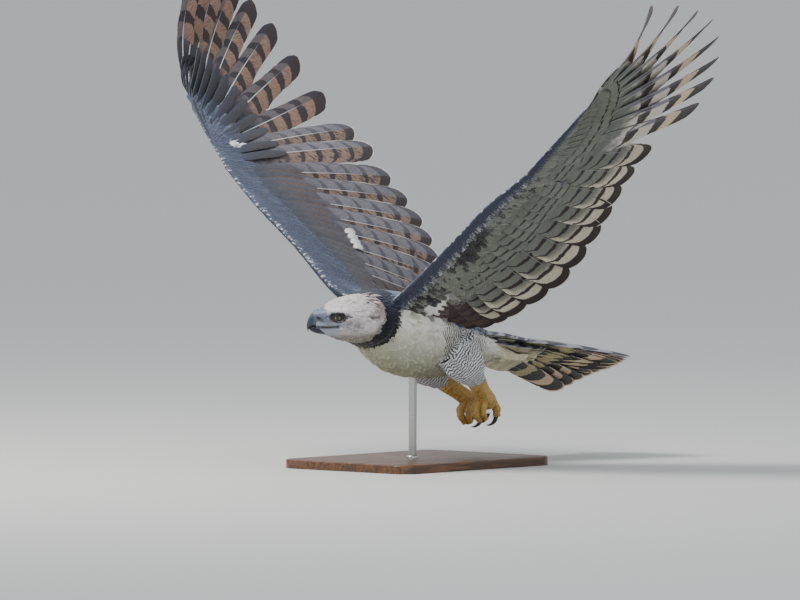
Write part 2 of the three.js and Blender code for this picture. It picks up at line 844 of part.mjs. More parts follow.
for (const [sideName, wing] of Object.entries(WINGS)) {
  const arm = wingPart(wing, wing.arm, armVanes(wing)).subtract(torsoCutter);
  const armCutter = wingPart(wing, wing.arm, armVanes(wing), GAP);
  const hand = wingPart(wing, wing.hand, handVanes(wing)).subtract(armCutter);
  add("wing_" + sideName + "_arm", arm, "#6d7480");
  add("wing_" + sideName + "_hand", hand, "#8a7c6c");
}

for (const [sideName, leg] of Object.entries(LEGS)) {
  const thighCutter = thighShape(leg, GAP);
  const toes = TOES.map((toe) => toeParts(leg, toe));
  const toeTubes = (grow) => toes.map((t) => tube(t.path, t.radii, TOE_SIDES, t.up, grow));
  const toesSolid = (grow) => union([padShape(leg, grow), ...toeTubes(grow)]);
  const toesCutter = toesSolid(GAP);
  add("thigh_" + sideName, thighShape(leg).subtract(torsoCutter), "#d8d6cc");
  add("tarsus_" + sideName, tarsusShape(leg).subtract(thighCutter).subtract(toesCutter), "#c79a3a");
  add("toes_" + sideName, toesSolid(0).subtract(thighCutter), "#c79a3a");
  let taken = union([toesCutter, tarsusShape(leg, GAP), thighCutter]);
  toes.forEach((t, i) => {
    const claw = tube(t.claw, t.clawRadii, CLAW_SIDES, t.up);
    add("claw_" + sideName + "_" + TOES[i].name, claw.subtract(taken), "#26262a", 0.35);
    taken = union([taken, tube(t.claw, t.clawRadii, CLAW_SIDES, t.up, GAP)]);
  });
}

// Stand: a flat base with bevelled upper edges, and the rod in a bore of the base
function baseShape() {
  const ring = (inset, z) => {
    const x = BASE_WIDTH / 2 - inset;
    const y = BASE_LENGTH / 2 - inset;
    const corner = BASE_CORNER - inset;
    const points = [];
    for (const [sx, sy, first] of [[1, 1, 0], [-1, 1, 90], [-1, -1, 180], [1, -1, 270]]) {
      for (let i = 0; i <= 5; i += 1) {
        const turn = rad(first + i * 18);
        points.push(new THREE.Vector3(
          sx * (x - corner) + Math.cos(turn) * corner,
          sy * (y - corner) + Math.sin(turn) * corner,
          z
        ));
      }
    }
    return points;
  };
  return loft([ring(0, 0), ring(0, BASE_THICK - BASE_BEVEL), ring(BASE_BEVEL, BASE_THICK)]);
}

add("stand_base", baseShape().subtract(rod(ROD_RADIUS + GAP, ROD_SEAT - GAP, 60)), "#5b3f2a");
add("stand_rod", rod(ROD_RADIUS, ROD_SEAT, rodTop), "#9a9a98", 0.3);

for (const [name, { solid, colour, roughness }] of nodes) {
  const mesh = solid.getMesh();
  const positions = new Float32Array(mesh.numVert * 3);
  for (let i = 0; i < mesh.numVert; i += 1) {
    positions.set(mesh.vertProperties.subarray(i * mesh.numProp, i * mesh.numProp + 3), i * 3);
  }
  const geometry = new THREE.BufferGeometry();
  geometry.setAttribute("position", new THREE.BufferAttribute(positions, 3));
  geometry.setIndex(new THREE.BufferAttribute(new Uint32Array(mesh.triVerts), 1));
  geometry.computeVertexNormals();
  const material = new THREE.MeshStandardMaterial({ color: colour, roughness });
  const part = new THREE.Mesh(geometry, material);
  part.name = name;
  group.add(part);
}

export default group;
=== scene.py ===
import math
import bmesh
import bpy
import numpy as np
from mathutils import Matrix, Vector
from mathutils.kdtree import KDTree


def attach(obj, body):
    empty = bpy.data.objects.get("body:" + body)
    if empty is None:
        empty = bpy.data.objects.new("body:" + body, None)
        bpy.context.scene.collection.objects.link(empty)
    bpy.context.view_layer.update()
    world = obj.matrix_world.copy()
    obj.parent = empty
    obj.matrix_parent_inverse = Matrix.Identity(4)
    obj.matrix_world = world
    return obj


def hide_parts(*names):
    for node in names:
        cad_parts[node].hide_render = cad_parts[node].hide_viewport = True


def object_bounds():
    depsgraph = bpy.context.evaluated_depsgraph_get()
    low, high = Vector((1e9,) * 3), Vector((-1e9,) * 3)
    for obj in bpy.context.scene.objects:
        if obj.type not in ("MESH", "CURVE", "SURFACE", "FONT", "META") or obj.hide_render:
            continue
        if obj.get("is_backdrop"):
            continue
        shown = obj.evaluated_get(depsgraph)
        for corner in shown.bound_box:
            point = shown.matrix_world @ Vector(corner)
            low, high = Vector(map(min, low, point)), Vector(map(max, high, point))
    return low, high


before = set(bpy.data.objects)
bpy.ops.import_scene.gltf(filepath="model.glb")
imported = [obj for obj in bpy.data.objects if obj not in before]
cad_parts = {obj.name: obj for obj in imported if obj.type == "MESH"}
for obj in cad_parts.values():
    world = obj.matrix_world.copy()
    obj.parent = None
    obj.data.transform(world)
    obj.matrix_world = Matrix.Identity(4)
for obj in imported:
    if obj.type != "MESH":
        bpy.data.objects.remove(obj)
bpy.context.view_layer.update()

# Camera: a long lens at the bird's front left, three degrees above the level of its shoulders. Lengths
# here are the frame's metres. SHOULDERS is the midpoint between the shoulder joints.
SHOULDERS = np.array([0.0, -0.165, 0.400])
VIEW_TURN, VIEW_RISE = math.radians(42), math.radians(3)
VIEW_WIDTH = 1.7778
VIEW_DISTANCE = 45.0
AIM_RIGHT, AIM_DOWN = 0.0722, 0.0222

back = Vector((
    math.sin(VIEW_TURN) * math.cos(VIEW_RISE),
    -math.cos(VIEW_TURN) * math.cos(VIEW_RISE),
    math.sin(VIEW_RISE),
))
right = Vector((math.cos(VIEW_TURN), math.sin(VIEW_TURN), 0))
above = back.cross(right)
lens = bpy.data.cameras.new("camera")
lens.sensor_width = 36
lens.lens = lens.sensor_width * VIEW_DISTANCE / VIEW_WIDTH
lens.clip_start, lens.clip_end = 0.1, 400
camera = bpy.data.objects.new("camera", lens)
bpy.context.scene.collection.objects.link(camera)
camera.location = Vector(SHOULDERS) + right * AIM_RIGHT - above * AIM_DOWN + back * VIEW_DISTANCE
camera.rotation_euler = (-back).to_track_quat("-Z", "Y").to_euler()
bpy.context.scene.camera = camera

# Skin: one closed hide over head, neck, trunk, thighs, arms, hands and the stump of the tail. The feathers
# root in it. It is lofted part by part from the bird's sizes and fused by a voxel remesh. Rows are in
# millimetres from SHOULDERS, and track() draws one smooth line through them.
MM = 0.001
SKIN_VOXEL = 0.004


def at(points):
    return np.asarray(points, float) * MM + SHOULDERS


def unit(vectors):
    return vectors / np.maximum(np.linalg.norm(vectors, axis=-1, keepdims=True), 1e-12)


def smoothstep(low, high, x):
    t = np.clip((np.asarray(x, float) - low) / (high - low), 0, 1)
    return t * t * (3 - 2 * t)


def track(keys):
    keys = np.asarray(keys, float)
    place, values = keys[:, 0], keys[:, 1:]
    low = np.maximum(np.arange(len(keys)) - 1, 0)
    high = np.minimum(np.arange(len(keys)) + 1, len(keys) - 1)
    slope = (values[high] - values[low]) / (place[high] - place[low])[:, None]

    def read(where):
        where = np.atleast_1d(np.asarray(where, float))
        i = np.clip(np.searchsorted(place, where, "right") - 1, 0, len(keys) - 2)
        span = (place[i + 1] - place[i])[:, None]
        t = (where - place[i])[:, None] / span
        return (
            (2 * t**3 - 3 * t**2 + 1) * values[i]
            + (t**3 - 2 * t**2 + t) * span * slope[i]
            + (3 * t**2 - 2 * t**3) * values[i + 1]
            + (t**3 - t**2) * span * slope[i + 1]
        )

    return read


def smooth_rows(rows, count):
    """Rows without a place of their own, drawn as count rows along one smooth line."""
    keyed = [[i, *row] for i, row in enumerate(rows)]
    return track(keyed)(np.linspace(0, len(rows) - 1, count))


def rings_along(path, half, tall, sides, high_way=(0, 0, 1)):
    along = unit(np.gradient(path, axis=0))
    across = unit(np.cross(along, high_way))
    high = unit(np.cross(across, along))
    turn = 2 * np.pi * np.arange(sides) / sides
    wide = np.cos(turn)[None, :, None] * np.reshape(half, (-1, 1, 1))
    up = np.sin(turn)[None, :, None] * np.reshape(tall, (-1, 1, 1))
    return path[:, None] + across[:, None] * wide + high[:, None] * up


def lofted(rings):
    """Points and faces of a closed skin over rings of equal count, with a fan at each end."""
    stations, sides = rings.shape[:2]
    points = np.concatenate([rings.reshape(-1, 3), [rings[0].mean(0)], [rings[-1].mean(0)]])
    row = np.arange(stations - 1)[:, None] * sides
    here = (row + np.arange(sides)).ravel()
    beside = (row + (np.arange(sides) + 1) % sides).ravel()
    faces = np.stack([here, beside, beside + sides, here + sides], 1).tolist()
    last = (stations - 1) * sides
    for k in range(sides):
        faces.append([stations * sides, (k + 1) % sides, k])
        faces.append([stations * sides + 1, last + k, last + (k + 1) % sides])
    return points, faces


def new_mesh(name, points, faces):
    mesh = bpy.data.meshes.new(name)
    mesh.from_pydata([tuple(p) for p in points], [], faces)
    bm = bmesh.new()
    bm.from_mesh(mesh)
    bmesh.ops.remove_doubles(bm, verts=bm.verts, dist=1e-7)
    bmesh.ops.recalc_face_normals(bm, faces=bm.faces)
    bm.to_mesh(mesh)
    bm.free()
    mesh.shade_smooth()
    return mesh


def new_object(name, mesh):
    made = bpy.data.objects.new(name, mesh)
    bpy.context.scene.collection.objects.link(made)
    return made


def settle(made):
    """Turns an object with modifiers into one plain mesh."""
    graph = bpy.context.evaluated_depsgraph_get()
    graph.update()
    mesh = bpy.data.meshes.new_from_object(made.evaluated_get(graph), depsgraph=graph)
    old = made.data
    made.modifiers.clear()
    made.data = mesh
    bpy.data.meshes.remove(old)
    mesh.name = made.name


# Trunk rows: back, top, bottom, half width
TORSO = [
    [-34, -30, -100, 34],
    [-22, -6, -124, 62],
    [-4, 5, -142, 80],
    [24, 8, -163, 92],
    [65, 2, -188, 97],
    [120, -8, -203, 96],
    [180, -22, -209, 91],
    [245, -42, -207, 79],
    [310, -68, -199, 62],
    [370, -93, -190, 45],
    [412, -108, -182, 34],
]
# Neck rows: x, back, up, half width, half height
NECK = [
    [2, 16, -72, 64, 54],
    [8, -14, -64, 78, 68],
    [16, -36, -61, 68, 63],
    [27, -52, -58, 54, 56],
    [34, -62, -58, 42, 46],
]
# Head rows: forward, middle height, half width, half height. The head is turned to the bird's right.
HEAD = [
    [-92, -3, 17, 18],
    [-83, 0, 36, 38],
    [-66, 0, 47, 50],
    [-44, -2, 51, 56],
    [-10, -3, 49, 52],
    [12, -3, 44, 46],
    [28, -3, 36, 39],
    [42, -1, 26, 30],
    [53, 3, 17, 19],
]
BROW = [[-12, 43, 9, 3, 4], [2, 43.5, 14, 6, 6], [18, 38.5, 14.5, 6, 6], [34, 27, 10, 3, 4]]
HEAD_TURN = math.radians(42)
HEAD_FORWARD = np.array([-math.sin(HEAD_TURN), -math.cos(HEAD_TURN), 0])
HEAD_LEFT = np.array([math.cos(HEAD_TURN), -math.sin(HEAD_TURN), 0])
HEAD_UP = np.array([0.0, 0, 1])
HEAD_CENTRE = at([5, -97, -57])
EYE_AT, EYE_RADIUS = [8.5, 34, 2], 11


def in_head(places):
    places = np.asarray(places, float) * MM
    return (
        HEAD_CENTRE
        + places[..., 0:1] * HEAD_FORWARD
        + places[..., 1:2] * HEAD_LEFT
        + places[..., 2:3] * HEAD_UP
    )


def from_head(points):
    away = (np.asarray(points) - HEAD_CENTRE) / MM
    return np.stack([away @ HEAD_FORWARD, away @ HEAD_LEFT, away @ HEAD_UP], -1)


# Legs: x counted outwards, then back and up. Thigh rows give the half widths too.
LEGS = {
    "left": {
        "side": 1,
        "hip": [62, 205, -130],
        "knee": [68, 250, -172],
        "ankle": [55, 300, -210],
        "foot": [34, 362, -260],
    },
    "right": {
        "side": -1,
        "hip": [62, 215, -135],
        "knee": [66, 262, -180],
        "ankle": [57, 318, -218],
        "foot": [38, 392, -268],
    },
}
# Wings: a row gives the leading edge, the direction of the chord, its length and the thickness, with x
# counted outwards. The tips' rows say where the flight feathers end. The twist of the fingers is in degrees,
# from the first of them to the outermost.
WINGS = {
    "left": {
        "side": 1,
        "finger_twist": [-12, -66],
        "arm": [
            [0, 62, 4, -24, -0.05, 1, -0.3, 190, 44],
            [1, 120, -6, 10, -0.08, 1, -0.34, 190, 42],
            [2, 230, 0, 100, -0.12, 1, -0.34, 190, 36],
            [3, 345, 6, 196, -0.14, 1, -0.22, 165, 30],
            [4, 455, 16, 270, -0.08, 1, -0.06, 132, 25],
        ],
        "hand": [
            [0, 453, 16, 270, -0.04, 1, 0, 124, 22],
            [1, 520, 42, 346, 0.2, 1, 0.22, 104, 16],
            [2, 583, 70, 416, 0.5, 0.8, 0.7, 66, 9],
            [3, 612, 90, 452, 0.6, 0.6, 0.9, 34, 5],
        ],
        "arm_tips": [
            [1, 360, 440, 206],
            [3, 304, 433, 117],
            [5, 232, 405, 14],
            [7, 140, 360, -55],
            [9, 96, 318, -82],
            [11, 70, 258, -80],
        ],
        "hand_tips": [
            [1, 396, 445, 255],
            [2, 447, 445, 308],
            [3, 563, 475, 415],
            [5, 668, 422, 524],
            [7, 725, 335, 611],
            [9, 730, 215, 645],
            [10, 720, 140, 646],
        ],
    },
    "right": {
        "side": -1,
        "finger_twist": [12, -40],
        "arm": [
            [0, 62, 4, -24, -0.05, 1, -0.3, 190, 44],
            [1, 120, -6, 12, -0.08, 1, -0.3, 190, 42],
            [2, 230, 0, 98, -0.12, 1, -0.26, 190, 36],
            [3, 353, 4, 185, -0.14, 1, -0.16, 168, 30],
            [4, 453, 16, 262, -0.08, 1, 0, 132, 25],
        ],
        "hand": [
            [0, 451, 16, 262, -0.04, 1, 0.05, 124, 22],
            [1, 528, 36, 332, 0.1, 1, 0.35, 104, 16],
            [2, 598, 56, 402, 0.3, 0.8, 0.9, 66, 9],
            [3, 622, 70, 440, 0.3, 0.6, 1, 34, 5],
        ],
        "arm_tips": [
            [1, 327, 440, 227],
            [3, 221, 430, 133],
            [5, 148, 402, 52],
            [7, 100, 350, -22],
            [9, 78, 310, -58],
            [11, 66, 256, -68],
        ],
        "hand_tips": [
            [1, 387, 445, 292],
            [2, 446, 445, 332],
            [3, 563, 475, 406],
            [5, 668, 422, 562],
            [7, 693, 316, 656],
            [9, 663, 200, 688],
            [10, 643, 132, 677],
        ],
    },
}
AIRFOIL_TOP = [[0, 0], [0.04, 0.45], [0.2, 0.95], [0.5, 0.88], [0.8, 0.66], [1, 0.46]]
AIRFOIL_UNDER = [[0, 0], [0.04, 0.45], [0.2, 0.95], [0.5, 0.85], [0.8, 0.5], [1, 0.3]]
ROOT_SHARE = 0.42
ARM_ROOTS, HAND_ROOTS = (3.8, 0.9), (0.12, 2.25)
SECONDARIES, PRIMARIES = 11, 10
REGIONS = ["head", "neck", "trunk", "thigh", "arm", "hand", "rump"]


def wing_section(keys, where):
    row = track(keys)(where)
    return row[:, :3], unit(row[:, 3:6]), row[:, 6], row[:, 7]


def wing_plane(keys, where):
    """Directions along the span and up from the wing at a place, with x outwards."""
    end, step = keys[-1][0], 0.05
    before = wing_section(keys, np.clip(np.asarray(where) - step, 0, end))[0]
    after = wing_section(keys, np.clip(np.asarray(where) + step, 0, end))[0]
    span = unit(after - before)
    return span, unit(np.cross(span, wing_section(keys, where)[1]))


def roots_along(keys, ends, count):
    lead, along, chord = wing_section(keys, np.linspace(*ends, count))[:3]
    return lead + along * (chord * ROOT_SHARE)[:, None]


def tips_along(keys, count):
    return track(keys)(np.arange(1, count + 1))


flesh = []


def add_flesh(region, rings, lie, **marks):
    """Keeps one part's rings with the way its feathers lie, and what else a feather needs to know."""
    stations, sides = rings.shape[:2]
    size = stations * sides
    part = {"rings": rings, "region": np.full(size, REGIONS.index(region))}
    part["lie"] = np.broadcast_to(lie, rings.shape).reshape(-1, 3)
    part["high"] = np.broadcast_to(marks.get("high", (0.0, 0.0, 1.0)), rings.shape).reshape(-1, 3)
    for mark in ("station", "share", "upper", "side"):
        value = marks.get(mark, 0)
        part[mark] = np.broadcast_to(value, (stations, sides)).ravel().astype(float)
    flesh.append(part)


COAT_DEPTH = {"trunk": 7, "neck": 6, "head": 2.5, "thigh": 8, "wing": 3, "rump": 6}
NECK_STEPS, HEAD_STEPS, THIGH_STEPS, RUMP_STEPS, WING_STEPS, AIRFOIL_STEPS = 24, 44, 26, 20, 46, 15
SMALLEST_PART = 5000

rows = track(TORSO)
stations = np.linspace(TORSO[0][0], TORSO[-1][0], 60)
top, bottom, half = rows(stations).T
turn = 2 * np.pi * np.arange(48) / 48
lift = np.sin(turn)
middle = bottom + (top - bottom) * 0.52
tall = np.where(lift > 0, (top - middle)[:, None], (middle - bottom)[:, None]) - COAT_DEPTH["trunk"]
wide = np.maximum(half[:, None] * (1 - 0.22 * np.maximum(0, -lift)) - COAT_DEPTH["trunk"], 4)
trunk_rings = at(np.stack([
    np.cos(turn) * wide,
    np.broadcast_to(stations[:, None], wide.shape),
    middle[:, None] + lift * tall,
], -1))
add_flesh(
    "trunk", trunk_rings, unit(np.gradient(trunk_rings, axis=0)),
    station=((stations - stations[0]) / np.ptp(stations))[:, None], upper=lift,
)

neck_rows = smooth_rows(NECK, NECK_STEPS)
half, tall = ((neck_rows[:, k] - COAT_DEPTH["neck"]) * MM for k in (3, 4))
neck_rings = rings_along(at(neck_rows[:, :3]), half, tall, 40)
neck_share = np.linspace(0, 1, NECK_STEPS)[:, None]
add_flesh("neck", neck_rings, -unit(np.gradient(neck_rings, axis=0)), station=neck_share)

head_at = np.linspace(HEAD[0][0], HEAD[-1][0], HEAD_STEPS)
head_middle, head_half, head_tall = track(HEAD)(head_at).T
head_rings = rings_along(
    in_head(np.stack([head_at, 0 * head_at, head_middle], -1)),
    (head_half - COAT_DEPTH["head"]) * MM,
    (head_tall - COAT_DEPTH["head"]) * MM,
    44,
)
head_share = np.linspace(0, 1, HEAD_STEPS)[:, None]
add_flesh("head", head_rings, -unit(np.gradient(head_rings, axis=0)), station=head_share)
for side in (1, -1):
    brow_rows = smooth_rows(BROW, 14)
    brow_path = in_head(brow_rows[:, :3] * [1, side, 1])
    brow_rings = rings_along(brow_path, (brow_rows[:, 3] - 1.5) * MM, (brow_rows[:, 4] - 1.5) * MM, 12)
    add_flesh("head", brow_rings, -HEAD_FORWARD, station=0.8)

for leg in LEGS.values():
    mirror = [leg["side"], 1, 1]
    hip, knee, ankle = (np.array(leg[k]) * mirror for k in ("hip", "knee", "ankle"))
    thigh_rows = smooth_rows([
        [*hip, 44, 62],
        [*knee, 40, 50],
        [*(knee + (ankle - knee) * 0.6), 30, 34],
        [*ankle, 21, 22],
    ], THIGH_STEPS)
    depth = np.linspace(COAT_DEPTH["thigh"], 4, THIGH_STEPS)
    half, tall = ((thigh_rows[:, k] - depth) * MM for k in (3, 4))
    thigh_rings = rings_along(at(thigh_rows[:, :3]), half, tall, 32, (0, 1, 0.2))
    add_flesh(
        "thigh", thigh_rings, unit(np.gradient(thigh_rings, axis=0)),
        station=np.linspace(0, 1, THIGH_STEPS)[:, None], side=leg["side"],
    )

for wing in WINGS.values():
    for region, keys, ends, tips, count in (
        ("arm", wing["arm"], ARM_ROOTS, wing["arm_tips"], SECONDARIES),
        ("hand", wing["hand"], HAND_ROOTS, wing["hand_tips"], PRIMARIES),
    ):
        where = np.linspace(0, keys[-1][0], WING_STEPS)
        lead, along, chord, thick = wing_section(keys, where)
        span, high = wing_plane(keys, where)
        share = (1 - np.cos(np.linspace(0, np.pi, AIRFOIL_STEPS))) / 2
        over, under = (np.interp(share, *np.transpose(curve)) for curve in (AIRFOIL_TOP, AIRFOIL_UNDER))
        share = np.concatenate([share, share[:0:-1]])
        half = np.concatenate([over, -under[:0:-1]])
        deep = np.maximum(thick / 2 - COAT_DEPTH["wing"], 1.2)
        reach = share[None] * (chord - 6)[:, None] + 3
        points = lead[:, None] + along[:, None] * reach[:, :, None]
        points = points + high[:, None] * (half * deep[:, None])[:, :, None]
        mirror = np.array([wing["side"], 1, 1])
        shafts = unit(tips_along(tips, count) - roots_along(keys, ends, count))
        order = np.argsort(np.linspace(*ends, count))
        lie = np.stack([np.interp(where, np.linspace(*ends, count)[order], s[order]) for s in shafts.T], -1)
        add_flesh(
            region, at(points * mirror), (unit(lie) * mirror)[:, None],
            station=where[:, None], share=share, side=wing["side"], high=(high * mirror)[:, None],
        )

stump_rows = smooth_rows([
    [0, 350, -139, 44, 42], [0, 402, -144, 38, 34], [4, 455, -158, 32, 19], [6, 515, -171, 15, 9],
], RUMP_STEPS)
half, tall = ((stump_rows[:, k] - COAT_DEPTH["rump"]) * MM for k in (3, 4))
stump_rings = rings_along(at(stump_rows[:, :3]), half, tall, 32)
rump_share = np.linspace(0, 1, RUMP_STEPS)[:, None]
add_flesh("rump", stump_rings, unit(np.gradient(stump_rings, axis=0)), station=rump_share)

points, faces = [], []
for part in flesh:
    part_points, part_faces = lofted(part["rings"])
    faces += [[i + sum(map(len, points)) for i in face] for face in part_faces]
    points.append(part_points)
skin = new_object("skin", new_mesh("skin", np.concatenate(points), faces))
fuse = skin.modifiers.new("fuse", "REMESH")
fuse.mode, fuse.voxel_size, fuse.use_smooth_shade = "VOXEL", SKIN_VOXEL, True
even = skin.modifiers.new("even", "SMOOTH")
even.factor, even.iterations = 0.5, 6
settle(skin)

# How the feathers lie: crumbs inside the hide go, then every point takes its region and the direction of its
# feathers from the loft it came from. Both are smoothed, so that the coat runs on without a seam.
bm = bmesh.new()
bm.from_mesh(skin.data)
crumbs, seen = [], set()
for start in bm.verts:
    if start in seen:
        continue
    seen.add(start)
    island, edge_of_search = [start], [start]
    while edge_of_search:
        for link in edge_of_search.pop().link_edges:
            for other in link.verts:
                if other not in seen:
                    seen.add(other)
                    island.append(other)
                    edge_of_search.append(other)
    if len(island) < SMALLEST_PART:
        crumbs += island
bmesh.ops.delete(bm, geom=crumbs, context="VERTS")
bm.to_mesh(skin.data)
bm.free()


def read_points(mesh):
    found = np.empty(len(mesh.vertices) * 3)
    mesh.vertices.foreach_get("co", found)
    return found.reshape(-1, 3)


def read_edges(mesh):
    found = np.empty(len(mesh.edges) * 2, int)
    mesh.edges.foreach_get("vertices", found)
    return found.reshape(-1, 2)


def read_normals(mesh):
    found = np.empty(len(mesh.vertices) * 3)
    mesh.vertex_normals.foreach_get("vector", found)
    return found.reshape(-1, 3)


def smoothed(values, links, rounds):
    count = np.bincount(links.ravel(), minlength=len(values)).reshape((-1,) + (1,) * (values.ndim - 1))
    for _ in range(rounds):
        total = np.zeros_like(values)
        np.add.at(total, links[:, 0], values[links[:, 1]])
        np.add.at(total, links[:, 1], values[links[:, 0]])
        values = (values + total / np.maximum(count, 1)) / 2
    return values


def store(mesh, name, values, domain="POINT"):
    values = np.asarray(values, float)
    kind, key = ("FLOAT", "value") if values.ndim == 1 else ("FLOAT_VECTOR", "vector")
    mesh.attributes.new(name, kind, domain).data.foreach_set(key, values.ravel())


spots, skin_normals, skin_links = read_points(skin.data), read_normals(skin.data), read_edges(skin.data)
source = np.concatenate([part["rings"].reshape(-1, 3) for part in flesh])
finder = KDTree(len(source))
for i, spot in enumerate(source):
    finder.insert(spot, i)
finder.balance()
nearest = np.array([[(hit[1], hit[2]) for hit in finder.find_n(spot, 4)] for spot in spots])
weight = 1 / (nearest[:, :, 1] + 0.001) ** 2
weight /= weight.sum(1, keepdims=True)
nearest = nearest[:, :, 0].astype(int)
region = np.concatenate([part["region"] for part in flesh])[nearest]
lie = np.concatenate([part["lie"] for part in flesh])[nearest]
lie = unit(smoothed((lie * weight[:, :, None]).sum(1), skin_links, 12))
lie = unit(lie - skin_normals * (lie * skin_normals).sum(1, keepdims=True))
wing_up = (np.concatenate([part["high"] for part in flesh])[nearest] * weight[:, :, None]).sum(1)
wing_up = unit(smoothed(wing_up, skin_links, 8))
mask = {
    name: smoothed(((region == i) * weight).sum(1), skin_links, 4) for i, name in enumerate(REGIONS)
}
place = {
    mark: (np.concatenate([part[mark] for part in flesh])[nearest] * weight).sum(1)
    for mark in ("station", "share", "upper", "side")
}

# Colours of the plumage, painted on the hide and taken up by every feather that roots there: the feather's
# own colour, the colour of its tip, the strength of its bars, its length and how far it stands off.


def paint(red, green, blue):
    """Linear colour of a shade read on a screen, 0 to 255."""
    shade = np.array([red, green, blue]) / 255
    return np.where(shade <= 0.04045, shade / 12.92, ((shade + 0.055) / 1.055) ** 2.4)


def wander(points, scale, seed):
    """A slow random value of place, about -1 to 1."""
    rng = np.random.default_rng(seed)
    found = np.zeros(len(points))
    for _ in range(7):
        way = rng.normal(size=3)
        found += np.sin(points @ (way * 2 * np.pi / scale / np.linalg.norm(way)) + rng.uniform(0, 7))
    return found / 3


def oval(forward, high, centre, radii, soft=0.35):
    """1 inside an oval of the head's side, 0 outside it."""
    far = np.hypot((forward - centre[0]) / radii[0], (high - centre[1]) / radii[1])
    return smoothstep(1 + soft, 1 - soft, far)


count = len(spots)
away = (spots - SHOULDERS) / MM
out, behind, up = np.abs(away[:, 0]), away[:, 1], away[:, 2]
level = skin_normals[:, 2]
drift, fleck, speck = wander(spots, 0.05, 3), wander(spots, 0.022, 4), wander(spots, 0.012, 9)
forward, high = from_head(spots).T[[0, 2]]
main, tips = np.zeros((count, 3)), np.zeros((count, 3))
bars, reach, stand = np.zeros(count), np.zeros(count), np.zeros(count)

winner = np.argmax([mask[region] for region in REGIONS], axis=0)
grows = {region: (winner == i).astype(float) for i, region in enumerate(REGIONS)}
sharp = {region: mask[region] ** 8 for region in REGIONS}
sharp = {region: sharp[region] / sum(sharp.values()) for region in REGIONS}


def dress(region, shade, tip, length, angle):
    """Adds one region's plumage, blended into its neighbours by its mask."""
    share = sharp[region]
    main[:] += share[:, None] * shade
    tips[:] += share[:, None] * tip
    reach[:] += share * length
    stand[:] += share * angle


def layered(ground, *layers):
    """A ground shade with further shades laid over it, each with its mask."""
    shade = np.tile(paint(*ground), (count, 1))
    for colour, amount in layers:
        shade += (paint(*colour) - shade) * np.clip(amount, 0, 1)[:, None]
    return shade


# Trunk and collar: slate back, white breast with a painted yellow-green shade low down, a few faint bars on
# the belly, and the broad black collar over the front of the trunk, which turns bluish where it faces the
# sky, a painted sheen. The slate back near the front is paler where it faces up, a painted sheen too.
dark_back = smoothstep(0.32, 0.5, place["upper"] + 0.06 * drift)
collar_edge = 4 + 0.42 * (up + 62)
collar = smoothstep(collar_edge + 2, collar_edge - 2, behind + 3 * drift + 2 * speck)
collar_rim = smoothstep(collar_edge + 26, collar_edge + 8, behind)
# Painted sheen: the black collar turns bluish where it faces up, as a reflection of the sky.
sky = smoothstep(-0.2, 0.7, level)
# Painted sheen: the slate back near the front is paler where it faces up, as the sky's light on it.
mantle_sky_sheen = dark_back * smoothstep(0.2, 0.8, level) * smoothstep(130, 70, behind)
# Painted shade: the breast darkens to a yellow-green where it faces down.
painted_low_shade = smoothstep(0.0, -0.9, level)
collar_main = layered((15, 17, 23), ((40, 47, 64), sky * 0.85))
collar_tips = layered((25, 28, 38), ((66, 77, 100), sky * 0.85))


def with_collar(shade, over):
    return shade + (over - shade) * collar[:, None]


dress(
    "trunk",
    with_collar(layered(
        (238, 236, 228), ((126, 130, 92), painted_low_shade * 0.9), ((184, 182, 156), smoothstep(0.1, 0.9, drift) * 0.55),
        ((52, 59, 75), dark_back), ((112, 124, 150), mantle_sky_sheen),
    ), collar_main),
    with_collar(layered(
        (248, 247, 242), ((160, 163, 124), painted_low_shade * 0.85), ((98, 110, 132), dark_back),
        ((150, 164, 190), mantle_sky_sheen),
    ), collar_tips),
    (0.034 - 0.008 * smoothstep(60, -20, behind)) * (1 - 0.42 * collar_rim), 4.5,
)
flank = smoothstep(35, 60, out) * smoothstep(125, 165, behind)
belly = smoothstep(60, 150, behind) * smoothstep(-0.2, -0.7, level) * 0.45
bars += sharp["trunk"] * np.maximum(flank, belly) * (1 - dark_back)
over_tail = smoothstep(0.1, 0.4, level)
dress(
    "rump",
    layered((216, 209, 178), ((44, 50, 62), over_tail)),
    layered((232, 224, 198), ((196, 198, 200), over_tail * (fleck > 0.3)), ((86, 94, 108), over_tail * 0.6)),
    0.050, 4,
)
dress("thigh", layered((228, 230, 234)), layered((240, 241, 244)), 0.030, 7)
bars += sharp["thigh"]
dress("neck", collar_main, collar_tips, 0.017, 4)

# Wings: above, soft slate blue with small white ticks on the very edge, paler on the shoulder as a painted
# sheen of light from above, and browner behind. Below, a navy edge with a row of white-tipped feathers, then
# dark streaks on a grey-green field; the field's dull grey-green is painted shade on a pale underside.
share, station = place["share"], place["station"]
facing = (skin_normals * wing_up).sum(1)
above_wing = smoothstep(-0.25, 0.25, facing)
rear_rim = smoothstep(0.8, 0.9, share) * np.maximum(
    smoothstep(0.65, 0.45, np.abs(facing)), smoothstep(1.7, 1.5, station),
)


def wing_spot(region, wing_side, at_station, at_share, wide, deep):
    """1 inside an oval on one wing, in the wing's own stations and shares of its chord."""
    far = np.hypot((station - at_station) / wide, (share - at_share) / deep)
    return smoothstep(1.25, 0.75, far) * mask[region] * (place["side"] * wing_side > 0)


